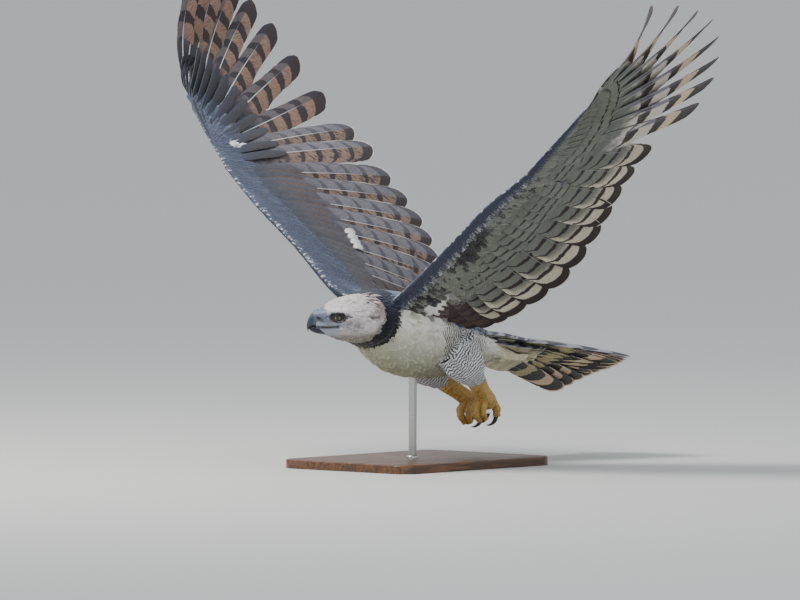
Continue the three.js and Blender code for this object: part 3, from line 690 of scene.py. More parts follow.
white_bases = wing_spot("hand", -1, 0.42, 0.6, 0.13, 0.13) * above_wing
grain = wander(spots, 0.007, 21)
tick_row = smoothstep(0.1, 0.12, share) * smoothstep(0.19, 0.16, share) * mask["arm"]
tick_row *= smoothstep(-0.1, 0.5, grain)
edge_line = smoothstep(0.19, 0.14, share)
streaks = smoothstep(0.15, 0.45, fleck + 0.55 - 1.5 * share) * (1 - 0.6 * mask["hand"])
elbow = sum(wing_spot("arm", side, 2.3, 0.28, 0.4, 0.14) for side in (1, -1))
hollow = sum(wing_spot("arm", side, 0.72, 0.32, 0.6, 0.2) for side in (1, -1))
hollow *= smoothstep(-0.6, -0.1, fleck)
armpit = sum(wing_spot("arm", side, 0.78, 0.66, 0.55, 0.21) for side in (1, -1))
inner_wing = mask["arm"] * smoothstep(1.5, 1.2, station)
brown = inner_wing * smoothstep(0.62, 0.72, share)
# Painted sheen: the shoulder is paler, as light from above catches it.
shoulder_sheen = mask["arm"] * smoothstep(1.3, 0.5, station) * smoothstep(0.1, 0.3, share)
ticks = smoothstep(0.045, 0.02, share) * smoothstep(0.35, 0.6, grain)
# Painted shade: the underside's pale field is darkened to a dull grey-green, as it lies in shade.
under_main = layered(
    (110, 114, 103), ((34, 33, 34), streaks * 0.9),
    ((34, 32, 35), inner_wing * smoothstep(-0.3, 0.3, fleck)),
    ((24, 22, 25), elbow), ((22, 22, 27), hollow), ((228, 228, 224), armpit), ((60, 46, 42), brown),
    ((48, 52, 70), edge_line), ((190, 192, 196), tick_row * 0.6),
)
under_tips = layered(
    (132, 136, 124), ((84, 86, 79), streaks * 0.7), ((60, 58, 60), inner_wing * smoothstep(0.1, 0.5, fleck)),
    ((40, 38, 42), elbow), ((40, 42, 52), hollow), ((238, 238, 236), armpit), ((78, 60, 54), brown),
    ((70, 78, 100), edge_line), ((206, 208, 210), tick_row),
)
over_main = layered(
    (64, 73, 92), ((80, 90, 110), smoothstep(0.0, 0.9, drift) * 0.6),
    ((82, 77, 82), smoothstep(0.6, 0.95, share + 0.1 * drift) * 0.8), ((206, 208, 212), ticks),
    ((104, 117, 142), shoulder_sheen), ((226, 228, 232), white_bases),
)
over_tips = layered(
    (92, 103, 126), ((104, 102, 110), smoothstep(0.6, 0.95, share) * 0.8), ((216, 218, 222), ticks),
    ((140, 155, 182), shoulder_sheen), ((240, 241, 244), white_bases),
)
for region in ("arm", "hand"):
    dress(
        region,
        under_main + (over_main - under_main) * above_wing[:, None],
        under_tips + (over_tips - under_tips) * above_wing[:, None],
        (0.008 + 0.004 * smoothstep(0.02, 0.1, share) + 0.022 * smoothstep(0.1, 0.6, share))
        * (1 - 0.5 * white_bases - 0.35 * armpit), 3.5 + 6 * white_bases,
    )

# Head: pale, with a white brow, grey-blue lores with dark streaks, a grey cheek and ear, a throat darkened
# to olive by painted shade, pinkish brown on the nape, and bare dark skin round the eye, its dark patch
# reaching out under the brow as a painted shadow.
orbit_at, orbit_size = (9.4, 4.2), (19, 12.5)
lores = oval(forward, high, (37, -3), (17, 15))
cheek = oval(forward, high, (-22, -17), (19, 14), 0.7)
ear = oval(forward, high, (-68, 1), (11, 5), 0.6)
under_eye = oval(forward, high, (8, -13), (24, 7), 0.6)
eye_stripe = oval(forward, high, (-15, 4), (8, 3), 0.6)
# Partly painted shadow: the dark orbit is bare skin, and it reaches past it onto the feathers with a flat
# top, as the shadow of the brow.
orbit = oval(forward, high, orbit_at, orbit_size, 0.1) * smoothstep(14.5, 13, high + 0.06 * forward)
gape = smoothstep(0, 14, forward) * smoothstep(-8, -15, high) * smoothstep(-42, -34, high)
nape = smoothstep(-50, -80, forward) * smoothstep(-5, 20, high)
crown = smoothstep(24, 40, high)
# Painted shade: the throat and the underside of the head darken to olive.
low = smoothstep(-26, -44, high)
streaky = smoothstep(0.1, 0.7, wander(spots * [1, 1, 2.2], 0.009, 12))
dress(
    "head",
    layered(
        (210, 203, 203), ((92, 92, 70), low * 0.85), ((150, 128, 124), nape * 0.8),
        ((168, 150, 146), crown * streaky * 0.8), ((138, 126, 128), smoothstep(0.2, 0.8, speck) * 0.55),
        ((92, 90, 98), cheek * (0.45 + 0.5 * streaky)), ((84, 76, 82), ear * 0.9),
        ((146, 150, 160), under_eye * 0.75), ((104, 111, 128), lores * 0.95), ((150, 160, 176), gape * 0.85),
        ((44, 46, 56), lores * streaky * 0.8), ((70, 66, 74), eye_stripe * 0.9),
        ((218, 214, 213), oval(forward, high, (6, 19), (28, 5))), ((30, 25, 29), orbit),
    ),
    layered(
        (232, 226, 225), ((124, 124, 102), low * 0.85), ((196, 176, 172), nape * 0.7),
        ((166, 156, 158), streaky * 0.4), ((112, 108, 116), cheek * 0.8), ((92, 84, 90), ear * 0.8),
        ((168, 172, 180), under_eye * 0.6), ((136, 143, 158), lores * 0.9), ((152, 160, 174), gape * 0.8),
        ((110, 106, 114), eye_stripe * 0.6),
        ((46, 38, 43), orbit),
    ),
    0.0055 + 0.0065 * smoothstep(30, 0, forward) + 0.009 * smoothstep(-50, -85, forward), 7,
)
near_eye = oval(forward, high, orbit_at, (24, 17), 0.25)
reach -= mask["head"] * near_eye * 0.3 * reach
bare = np.maximum(
    oval(forward, high, orbit_at, (15.5, 9.3), 0.05),
    smoothstep(41, 43, forward) * smoothstep(17, 13, high),
)
grows["head"] *= 1 - bare
grows["rump"] *= 1 - (over_tail > 0.2) * (station > 0.5)
for region in ("arm", "hand"):
    grows[region] *= 1 - rear_rim

# How far along its region's mean lie each point is, for the thin bars that the hide carries between feathers
lines = bars * smoothstep(0.6, 0.8, np.max([mask[region] for region in REGIONS], axis=0))
run = np.zeros(count)
for region in REGIONS:
    mean_lie = (lie * sharp[region][:, None]).sum(0)
    run += sharp[region] * (spots @ (mean_lie / np.linalg.norm(mean_lie)))

for name, values in (
    ("lie", lie), ("main", main), ("tips", tips), ("bars", bars), ("reach", reach), ("stand", stand),
    ("run", run), ("lines", lines),
):
    store(skin.data, name, values)
for name, values in grows.items():
    store(skin.data, "in_" + name, values)

bpy.context.view_layer.objects.active = skin
skin.select_set(True)
bpy.ops.object.mode_set(mode="EDIT")
bpy.ops.mesh.select_all(action="SELECT")
bpy.ops.uv.smart_project(angle_limit=1.15, island_margin=0.003, scale_to_bounds=True)
bpy.ops.object.mode_set(mode="OBJECT")
skin.select_set(False)
skin.data.uv_layers[0].name = "OFBake"

# Flight feathers: stiff vanes on a round shaft, set by Geometry Nodes on rows of roots. One closed blade and
# one shaft are repeated, then bent to each feather's own length, widths, bow and twist.
BLADE_ACROSS, BLADE_ALONG = 9, 49
SHAFT_SIDES, SHAFT_STEPS = 6, 24
VECTOR = "FLOAT_VECTOR"


class Worked:
    """A value that nodes work out. Arithmetic on it adds nodes to the tree in hand."""
    tree = None

    def __init__(self, socket):
        self.socket = socket


def add(kind, *values, **settings):
    """Adds a node to the tree in hand. A worked value is linked, any other becomes the input's default."""
    made = Worked.tree.nodes.new(kind)
    for name, value in settings.items():
        setattr(made, name, value)
    pairs = values[0].items() if values and isinstance(values[0], dict) else enumerate(values)
    for key, value in pairs:
        if isinstance(value, Worked):
            Worked.tree.links.new(value.socket, made.inputs[key])
        elif value is not None:
            made.inputs[key].default_value = value
    return made


def first(kind, *values, **settings):
    return Worked(add(kind, *values, **settings).outputs[0])


def maths(operation, *values):
    return first("ShaderNodeMath", *values, operation=operation)


def vectors(operation, *values):
    return first("ShaderNodeVectorMath", *values, operation=operation)


def arithmetic(operation, one, other):
    """Vectors are added to vectors and multiplied by values."""
    if not any(isinstance(v, Worked) and v.socket.type == "VECTOR" for v in (one, other)):
        return maths(operation, one, other)
    if operation == "MULTIPLY":
        return first("ShaderNodeVectorMath", {0: one, "Scale": other}, operation="SCALE")
    return vectors(operation, one, other)


for sign, operation in (
    ("add", "ADD"), ("sub", "SUBTRACT"), ("mul", "MULTIPLY"), ("truediv", "DIVIDE"), ("pow", "POWER"),
):
    setattr(Worked, f"__{sign}__", lambda one, other, kind=operation: arithmetic(kind, one, other))
    setattr(Worked, f"__r{sign}__", lambda one, other, kind=operation: arithmetic(kind, other, one))


def parted(vector):
    return [Worked(part) for part in add("ShaderNodeSeparateXYZ", vector).outputs]


def combined(x, y, z):
    return first("ShaderNodeCombineXYZ", x, y, z)


def either(choice, low, high):
    return first("ShaderNodeMix", {0: choice, 2: low, 3: high})


def noise(vector, scale, detail=3.0):
    return first("ShaderNodeTexNoise", {"Vector": vector, "Scale": scale, "Detail": detail})


def named(name, kind="FLOAT"):
    return first("GeometryNodeInputNamedAttribute", {"Name": name}, data_type=kind)


def stored(geometry, name, value, kind="FLOAT", domain="POINT"):
    values = {"Geometry": geometry, "Name": name, "Value": value}
    return first("GeometryNodeStoreNamedAttribute", values, data_type=kind, domain=domain)


def line_of(value, points):
    """A Float Curve through the points, 0 to 1."""
    made = add("ShaderNodeFloatCurve", {"Value": value})
    line = made.mapping.curves[0]
    while len(line.points) < len(points):
        line.points.new(0.5, 0.5)
    for point, (x, y) in zip(line.points, points):
        point.location = (x, y)
    made.mapping.update()
    return Worked(made.outputs[0])


def new_tree(name, inputs):
    """A Geometry Nodes tree, which becomes the tree in hand, and its named inputs."""
    tree = Worked.tree = bpy.data.node_groups.new(name, "GeometryNodeTree")
    tree.interface.new_socket("Geometry", in_out="INPUT", socket_type="NodeSocketGeometry")
    tree.interface.new_socket("Geometry", in_out="OUTPUT", socket_type="NodeSocketGeometry")
    for label, kind, default in inputs:
        socket = tree.interface.new_socket(label, in_out="INPUT", socket_type="NodeSocket" + kind)
        if default is not None:
            socket.default_value = default
    return {socket.name: Worked(socket) for socket in add("NodeGroupInput").outputs if socket.name}


def repeated(points, piece):
    many = first("GeometryNodeInstanceOnPoints", {"Points": points, "Instance": piece})
    return first("GeometryNodeRealizeInstances", {"Geometry": many})


def ended(geometry, material):
    """Ends the tree in hand: everything in it is real by now, and takes its material."""
    add("NodeGroupOutput", first("GeometryNodeSetMaterial", {"Geometry": geometry, "Material": material}))
    return Worked.tree


def vane_tree(name, outer_profile, inner_profile):
    given = new_tree(name, [
        ("Material", "Material", None), ("Feathers", "Int", 10), ("Camber", "Float", 0.1),
        ("Ragged", "Float", 0.1), ("Thickness", "Float", 0.0006),
    ])
    blade = stored(first("GeometryNodeMeshCube", {
        "Size": (2, 1, 2), "Vertices X": BLADE_ACROSS, "Vertices Y": BLADE_ALONG, "Vertices Z": 2,
    }), "shaft", 0.0)
    quill = first("GeometryNodeMeshCylinder", {
        "Vertices": SHAFT_SIDES, "Side Segments": SHAFT_STEPS, "Radius": 1.0, "Depth": 1.0,
    })
    quill = first("GeometryNodeTransform", {"Geometry": quill, "Rotation": (math.pi / 2, 0, 0)})
    quill = stored(quill, "shaft", 1.0)
    pair = add("GeometryNodeJoinGeometry")
    for part in (blade, quill):
        Worked.tree.links.new(part.socket, pair.inputs[0])
    raised = first("GeometryNodeInputPosition") + (0, 0.5, 0)
    many = repeated(given["Geometry"], stored(Worked(pair.outputs[0]), "vane", raised, VECTOR))

    # Widths: each side follows its own profile, with small notches at the rim
    x, even, z = parted(named("vane", VECTOR))
    t = 1.0 - maths("MAXIMUM", 1.0 - even, 0.0) ** 1.5
    shaft, is_outer = named("shaft"), maths("GREATER_THAN", x, 0.0)
    outer_share, inner_share = line_of(t, outer_profile), line_of(t, inner_profile)
    wide = either(is_outer, named("inner") * inner_share, named("outer") * outer_share)
    fullness = either(is_outer, inner_share, outer_share)
    ragged = noise(combined(maths("SIGN", x) * 3.0, t * 26.0, named("pick") * 60.0), 1.0, 2.0)
    notch = maths("MINIMUM", maths("MAXIMUM", ragged - 0.56, 0.0) * 6.0, 1.0) * given["Ragged"]
    wide = wide * (1.0 - notch * maths("ABSOLUTE", x) ** 6.0)
    quill_r = named("rachis") * line_of(t, [[0, 1], [0.6, 0.55], [1, 0.12]])
    place_x = either(shaft, x * wide, x * quill_r)
    place_z = either(shaft, z * given["Thickness"] - x * x * wide * given["Camber"], z * quill_r)

    # Length: the spine bows and sweeps, and the vane turns about it
    bulge = t * (1.0 - t) * 4.0
    turned = named("tilt") + named("twist") * t
    cosine, sine = maths("COSINE", turned), maths("SINE", turned)
    outward, normal, length = named("outward", VECTOR), named("normal_way", VECTOR), named("length")
    spine = named("root", VECTOR) + named("along", VECTOR) * (length * t)
    spine = spine + outward * (named("sweep") * bulge) + normal * (named("bow") * bulge)
    across = outward * cosine + normal * sine
    high = normal * cosine + outward * (sine * -1.0)
    placed = spine + across * place_x + high * place_z
    bent = first("GeometryNodeSetPosition", {"Geometry": many, "Position": placed})

    # Places on the vane, for its material: from the tip and from the rim
    bent = stored(bent, "mark", combined(place_x, (1.0 - t) * length, z), VECTOR)
    sigma = x * fullness
    round_end = sigma * sigma * 0.1 + maths("ABSOLUTE", sigma) ** 12.0 * 0.12
    from_rim = maths("MAXIMUM", 1.0 - t - round_end, 0.0)
    bent = stored(bent, "rim", combined(sigma, from_rim * length, t), VECTOR)
    column = either(shaft, x * 0.2 + (z * 0.23 + 0.46), x * 0.02 + 0.95)
    uv = combined((named("order") + column) / given["Feathers"], t * 0.98 + 0.01, 0.0)
    return ended(stored(bent, "OFBake", uv, "FLOAT2", "CORNER"), given["Material"])


def give(modifier, values):
    """Sets a modifier's inputs by their labels."""
    for item in modifier.node_group.interface.items_tree:
        if item.item_type == "SOCKET" and item.in_out == "INPUT" and item.name in values:
            modifier[item.identifier] = values[item.name]


ROUND = (
    [[0, 0.16], [0.18, 0.8], [0.55, 1], [0.86, 0.93], [0.94, 0.78], [0.975, 0.55], [0.992, 0.3], [1, 0.06]],
    [[0, 0.14], [0.18, 0.8], [0.55, 1], [0.86, 0.9], [0.94, 0.73], [0.975, 0.5], [0.992, 0.27], [1, 0.06]],
)
FINGER = (
    [[0, 0.16], [0.3, 0.95], [0.48, 1], [0.62, 0.86], [0.92, 0.74], [0.97, 0.5], [1, 0.08]],
    [[0, 0.12], [0.3, 0.95], [0.48, 1], [0.62, 0.8], [0.92, 0.72], [0.97, 0.5], [1, 0.08]],
)
SMALL = ([[0, 0.3], [0.4, 1], [0.8, 0.9], [0.94, 0.6], [1, 0.1]],) * 2
round_tree = vane_tree("round_vanes", *ROUND)
finger_tree = vane_tree("finger_vanes", *FINGER)
small_tree = vane_tree("small_vanes", *SMALL)


def fan(roots, tips, side, normal=None, **sizes):
    """A row of feathers, with the way up taken from their neighbours. Sizes in millimetres and degrees."""
    count = len(roots)
    if normal is None:
        low, high = np.maximum(np.arange(count) - 1, 0), np.minimum(np.arange(count) + 1, count - 1)
        span = tips[high] - tips[low] + roots[high] - roots[low]
        normal = np.cross(span, tips - roots)
        normal *= np.where(normal[:, 2:] < 0, -1, 1)
    along = unit(tips - roots)
    normal = unit(normal - along * (normal * along).sum(1, keepdims=True))
    made = {"roots": roots, "tips": tips, "side": np.broadcast_to(float(side), count), "normal": normal}
    made["outward"] = np.cross(along, normal) * made["side"][:, None]
    usual = {"outer": 30, "inner": 40, "bow": 0, "sweep": 0, "tilt": 5.5, "twist": 0, "rachis": 1.9}
    for name, value in {**usual, **sizes}.items():
        made[name] = np.broadcast_to(np.asarray(value, float), count).copy()
    return made


def joined(*fans):
    return {key: np.concatenate([f[key] for f in fans]) for key in fans[0]}


def part_of(row, start, stop=None):
    return {key: value[start:stop] for key, value in row.items()}


def between(row, count):
    """The same row with another number of feathers."""
    there = np.linspace(0, len(row["roots"]) - 1, count)
    here = np.arange(len(row["roots"]))

    def spaced(values):
        if values.ndim == 1:
            return np.interp(there, here, values)
        return np.stack([np.interp(there, here, column) for column in values.T], 1)

    return {key: spaced(value) for key, value in row.items()}


def coverts(row, count, start, share, lift, **sizes):
    """Shorter feathers over the bases of a row, on the upper side, or the lower with lift below nothing."""
    over = between(row, count)
    chord = over["tips"] - over["roots"]
    up = unit(over["normal"]) * MM
    roots = over["roots"] + chord * start + up * np.sign(lift) * 2
    tips = over["roots"] + chord * share + up * lift
    usual = {"bow": 5 * np.sign(lift), "rachis": 0.9}
    return fan(roots, tips, over["side"][0], over["normal"], **{**usual, **sizes})


def belongs(made, nodes):
    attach(made, "root")
    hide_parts(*nodes)


def grow_vanes(name, tree, row, material, nodes, seed, slot="flight_plumage", **inputs):
    count = len(row["roots"])
    mesh = new_mesh(name, row["roots"], [])
    chord = row["tips"] - row["roots"]
    rng = np.random.default_rng(seed)
    store(mesh, "root", row["roots"])
    store(mesh, "along", unit(chord))
    store(mesh, "outward", row["outward"])
    store(mesh, "normal_way", row["normal"])
    store(mesh, "length", np.linalg.norm(chord, axis=1))
    for key in ("outer", "inner", "bow", "sweep", "rachis"):
        store(mesh, key, row[key] * MM)
    for key in ("tilt", "twist"):
        store(mesh, key, np.radians(row[key] + rng.uniform(-0.4, 0.4, count)))
    store(mesh, "pick", rng.uniform(size=count))
    store(mesh, "order", np.arange(count))
    made = new_object(name, mesh)
    modifier = made.modifiers.new("vanes", "NODES")
    modifier.node_group = tree
    give(modifier, {"Material": material, "Feathers": count, **inputs})
    settle(made)
    made.data.set_sharp_from_angle(angle=math.radians(55))
    belongs(made, nodes)


def new_material(name, roughness=0.6, **sockets):
    """A Principled material, whose tree becomes the tree in hand. Sockets are constants."""
    material = bpy.data.materials.new(name)
    material.use_nodes = True
    Worked.tree = material.node_tree
    shader = material.node_tree.nodes["Principled BSDF"]
    shader.inputs["Roughness"].default_value = roughness
    for label, value in sockets.items():
        shader.inputs[label.replace("_", " ")].default_value = value
    return material, shader


def attribute(name, output="Fac"):
    return Worked(add("ShaderNodeAttribute", attribute_name=name).outputs[output])


def mixed(amount, low, high):
    """A colour between two others. Colours are linear triples or worked values."""
    low, high = (v if isinstance(v, Worked) else (*v, 1) for v in (low, high))
    made = add("ShaderNodeMix", {0: amount, 6: low, 7: high}, data_type="RGBA", clamp_factor=True)
    return Worked(made.outputs[2])


def tinted(colour, tint):
    made = add("ShaderNodeMix", {0: 1.0, 6: colour, 7: tint}, data_type="RGBA", blend_type="MULTIPLY")
    return Worked(made.outputs[2])


def toned(colour, tone):
    return tinted(colour, first("ShaderNodeCombineColor", tone, tone, tone))


def ranged(value, low, high, start=0.0, end=1.0):
    values = {"Value": value, "From Min": low, "From Max": high, "To Min": start, "To Max": end}
    return first("ShaderNodeMapRange", values, interpolation_type="SMOOTHSTEP")


def drive(shader, colour, relief=None, roughness=None):
    """Links a colour, a relief (height, strength, distance in metres) and a roughness to the shader."""
    flows = {"Base Color": colour}
    if relief:
        flows["Normal"] = first("ShaderNodeBump", dict(zip(("Height", "Strength", "Distance"), relief)))
    if roughness:
        flows["Roughness"] = roughness
    for label, value in flows.items():
        Worked.tree.links.new(value.socket, shader.inputs[label])


def vane_material(
    name, upper, lower, bars, tip, shafts, root, cream=None, mottle=0.0, pale=None, whole=None,
):
    """Barred vanes. upper and lower: light and dark shade of the outer vane, then of the inner one. bars:
    first, period and width in millimetres from the rim. tip: width of the pale fringe and end of the dark
    band. root: shares of the length where the base begins and is full, its shade above and below, and how
    much it hides the bars. cream: shade of the zone behind the dark band on the lower side, a painted glow
    of light shining through the thin vane. pale: shade of the fringe, a real pale edge painted brighter as a
    glow
    of light shining through it. whole: the length, in millimetres, that the bars are meant for, where they
    scale with it."""
    material, shader = new_material(
        name, 0.6, Sheen_Weight=0.1, Sheen_Roughness=0.4, Specular_IOR_Level=0.3,
    )
    x, d, z = parted(attribute("mark", "Vector"))
    sigma, rim, t = parted(attribute("rim", "Vector"))
    pick, shaft = attribute("pick"), attribute("shaft")
    x, d, rim = (value * 1000.0 for value in (x, d, rim))
    if whole:
        fit = whole * MM / attribute("length")
        d, rim = d * fit, rim * fit
    away = pick * 90.0
    is_outer, is_upper = ranged(x, -0.3, 0.3), maths("GREATER_THAN", z, 0.0)

    # Barbs leave the shaft at a slant and cling together in clumps
    barb = d + maths("ABSOLUTE", x) * 1.1
    sway = noise(combined(x * 0.05, d * 0.04, away), 1.0) - 0.5
    clump = noise(combined(x * 0.06, barb * 0.5, away), 1.0, 4.0)
    ridge = maths("SINE", barb * (2 * math.pi / 1.5))

    start, period, wide = bars
    e = (d + rim) * 0.5 + sway * (period * 0.35)
    e = e + (pick - 0.5) * (period * mottle * 0.35) + (clump - 0.5) * 7.0
    duty = (1.05 - sigma * sigma * 0.6) * (wide / period / 2)
    phase = maths("FRACT", (e - (start + wide / 2)) / period + 0.5)
    bar = ranged(maths("ABSOLUTE", phase - 0.5) - duty, 1.3 / period, -1.3 / period)
    begin, full, root_above, root_below, hidden = root
    to_root = ranged(t + sway * 0.25, 1 - begin, 1 - full)
    bar = bar * ranged(e, start - 2, start) * (1.0 - to_root * hidden)
    fringe, band = tip
    ending = ranged(rim + sway * 5.0, band + 2, band - 2) * ranged(rim, fringe - 0.8, fringe + 0.8)
    bar = maths("MAXIMUM", bar, ending)

    shades = []
    for i in (0, 1):
        above_half = mixed(is_outer, upper[2 + i], upper[i])
        below_half = mixed(is_outer, lower[2 + i], lower[i])
        if i == 0:
            # Painted glow: the cream zone stands in for light shining through the vane.
            if cream is not None:
                below_half = mixed(ranged(rim, band + 25, band + 75), cream, below_half)
            above_half = mixed(to_root, above_half, root_above)
            below_half = mixed(to_root, below_half, root_below)
        shades.append(mixed(is_upper, below_half, above_half))
    flecks = ranged(noise(combined(x * 0.1, barb * 0.16, away), 1.0, 5.0), 0.52, 0.6, 0.0, mottle)
    flecks = flecks * (is_upper * (1.0 - is_outer * 0.6))
    colour = mixed(maths("MAXIMUM", bar, flecks), *shades)
    # Painted glow: the fringe is brightened, as light shines through its thin edge.
    if pale is not None:
        margin = ranged(maths("ABSOLUTE", sigma), 0.92, 0.97) * ranged(t, 0.6, 0.8) * is_upper
        margin = maths("MAXIMUM", ranged(rim, fringe + 0.8, fringe - 0.8), margin)
        colour = mixed(margin, colour, pale)
    colour = toned(colour, ranged(clump, 0.3, 0.72, 0.76, 1.12) * (pick * 0.2 + 0.9))
    colour = mixed(shaft * maths("MAXIMUM", is_upper, 0.35), colour, mixed(ranged(d, 50, 170), *shafts))
    drive(shader, colour, (ridge * 0.35 + clump, 0.35, 0.0006))
    return material


def shades_of(*triples):
    return [paint(*triple) for triple in triples]


NO_BAR = 900
# Painted shade: the dull grey-green lower sides and lower bases of these vanes are pale undersides darkened
# as they lie in shade.
finger_looks = {
    label: vane_material(
        f"finger_vanes_{label}",
        shades_of((100, 92, 94), (54, 50, 58), (152, 122, 106), (62, 51, 54)),
        shades_of((116, 116, 128), (62, 58, 66), (206, 200, 188), (44, 36, 34)),
        rows, dark_tip, shades_of((78, 74, 80), (206, 209, 214)),
        (0.52, 0.68, paint(64, 66, 78), paint(106, 110, 102), 0.85),
        cream=paint(216, 194, 160), mottle=0.35,
    )
    for label, rows, dark_tip in (("left", (106, 80, 34), (1.0, 60)), ("right", (80, 62, 27), (1.0, 42)))
}
secondary_look = vane_material(
    "secondary_vanes",
    shades_of((112, 110, 118), (80, 78, 88), (128, 108, 94), (54, 47, 50)),
    shades_of((108, 112, 102), (42, 32, 29), (112, 116, 105), (40, 30, 28)),
    (66, 47, 14), (2.4, 32), shades_of((150, 144, 142), (200, 200, 204)),
    (0.5, 0.85, paint(84, 82, 90), paint(100, 104, 94), 0.6),
    cream=paint(206, 197, 176), mottle=0.9, pale=paint(232, 224, 212), whole=390,
)
tertial_look = vane_material(
    "tertial_vanes",
    shades_of((78, 70, 72), (52, 44, 46), (84, 70, 66), (50, 42, 42)),
    shades_of((72, 54, 48), (44, 34, 32), (78, 58, 52), (42, 33, 31)),
    (40, 30, 9), (1.2, 12), shades_of((90, 78, 74), (120, 110, 106)),
    (0.5, 0.8, paint(70, 66, 72), paint(64, 48, 44), 0.9), mottle=0.3,
)
# Painted shade and glow: the olive lower side stands for shade on a pale underside, and the cream zone for
# light shining through.
tail_look = vane_material(
    "tail_vanes",
    shades_of((140, 142, 156), (46, 49, 64), (148, 146, 154), (44, 46, 58)),
    shades_of((172, 160, 116), (24, 20, 18), (176, 162, 118), (24, 20, 18)),
    (86, 88, 51), (6.0, 48), shades_of((70, 64, 62), (150, 142, 128)),
    (0.4, 0.7, paint(120, 122, 132), paint(170, 162, 126), 0.0),
    cream=paint(214, 184, 150), mottle=0.0,
)
rump_look = vane_material(
    "tail_covert_vanes",
    shades_of((150, 152, 166), (46, 49, 64), (148, 150, 162), (46, 49, 64)),
    shades_of((204, 196, 164), (180, 172, 140), (206, 198, 166), (184, 176, 146)),
    (16, 34, 22), (3.0, 9), shades_of((90, 86, 84), (160, 154, 146)),
    (0.5, 0.8, paint(58, 62, 76), paint(204, 198, 172), 0.6),
)
covert_look = vane_material(
    "covert_vanes",
    shades_of((80, 79, 86), (60, 60, 68), (98, 84, 78), (54, 49, 52)),
    shades_of((108, 112, 101), (60, 58, 56), (112, 116, 104), (60, 58, 56)),
    (NO_BAR, 22, 5), (1.4, 3), shades_of((110, 106, 108), (140, 142, 136)),
    (0.4, 0.7, paint(68, 72, 84), paint(106, 110, 99), 0.7), mottle=0.5,
)
slate_look = vane_material(
    "slate_vanes",
    shades_of((60, 62, 74), (46, 47, 58), (66, 64, 72), (48, 46, 54)),
    shades_of((106, 110, 101), (90, 94, 86), (108, 112, 102), (92, 96, 88)),
    (NO_BAR, 30, 5), (1.0, 3), shades_of((70, 70, 80), (130, 133, 128)),
    (0.5, 0.9, paint(62, 68, 84), paint(104, 108, 98), 1.0),
)
under_look = vane_material(
    "under_covert_vanes",
    shades_of((66, 66, 76), (48, 48, 58), (70, 68, 76), (50, 48, 56)),
    shades_of((108, 112, 102), (44, 40, 38), (114, 118, 107), (44, 40, 38)),
    (18, 30, 8), (0.5, 1), shades_of((66, 66, 76), (150, 152, 142)),
    (0.5, 0.8, paint(66, 68, 80), paint(106, 110, 100), 0.8), mottle=1.6,
)
# Painted shade: the white feathers' lower side is grey, as it lies in shade.
white_look = vane_material(
    "white_base_vanes",
    shades_of((226, 226, 228), (206, 206, 208), (232, 232, 234), (206, 206, 208)),
    shades_of((120, 120, 118), (100, 100, 98), (120, 120, 118), (100, 100, 98)),
    (NO_BAR, 30, 5), (1.0, 1), shades_of((200, 200, 204), (200, 200, 204)),
    (0.8, 1, paint(120, 112, 116), paint(120, 112, 116), 1.0), mottle=0.3,
)

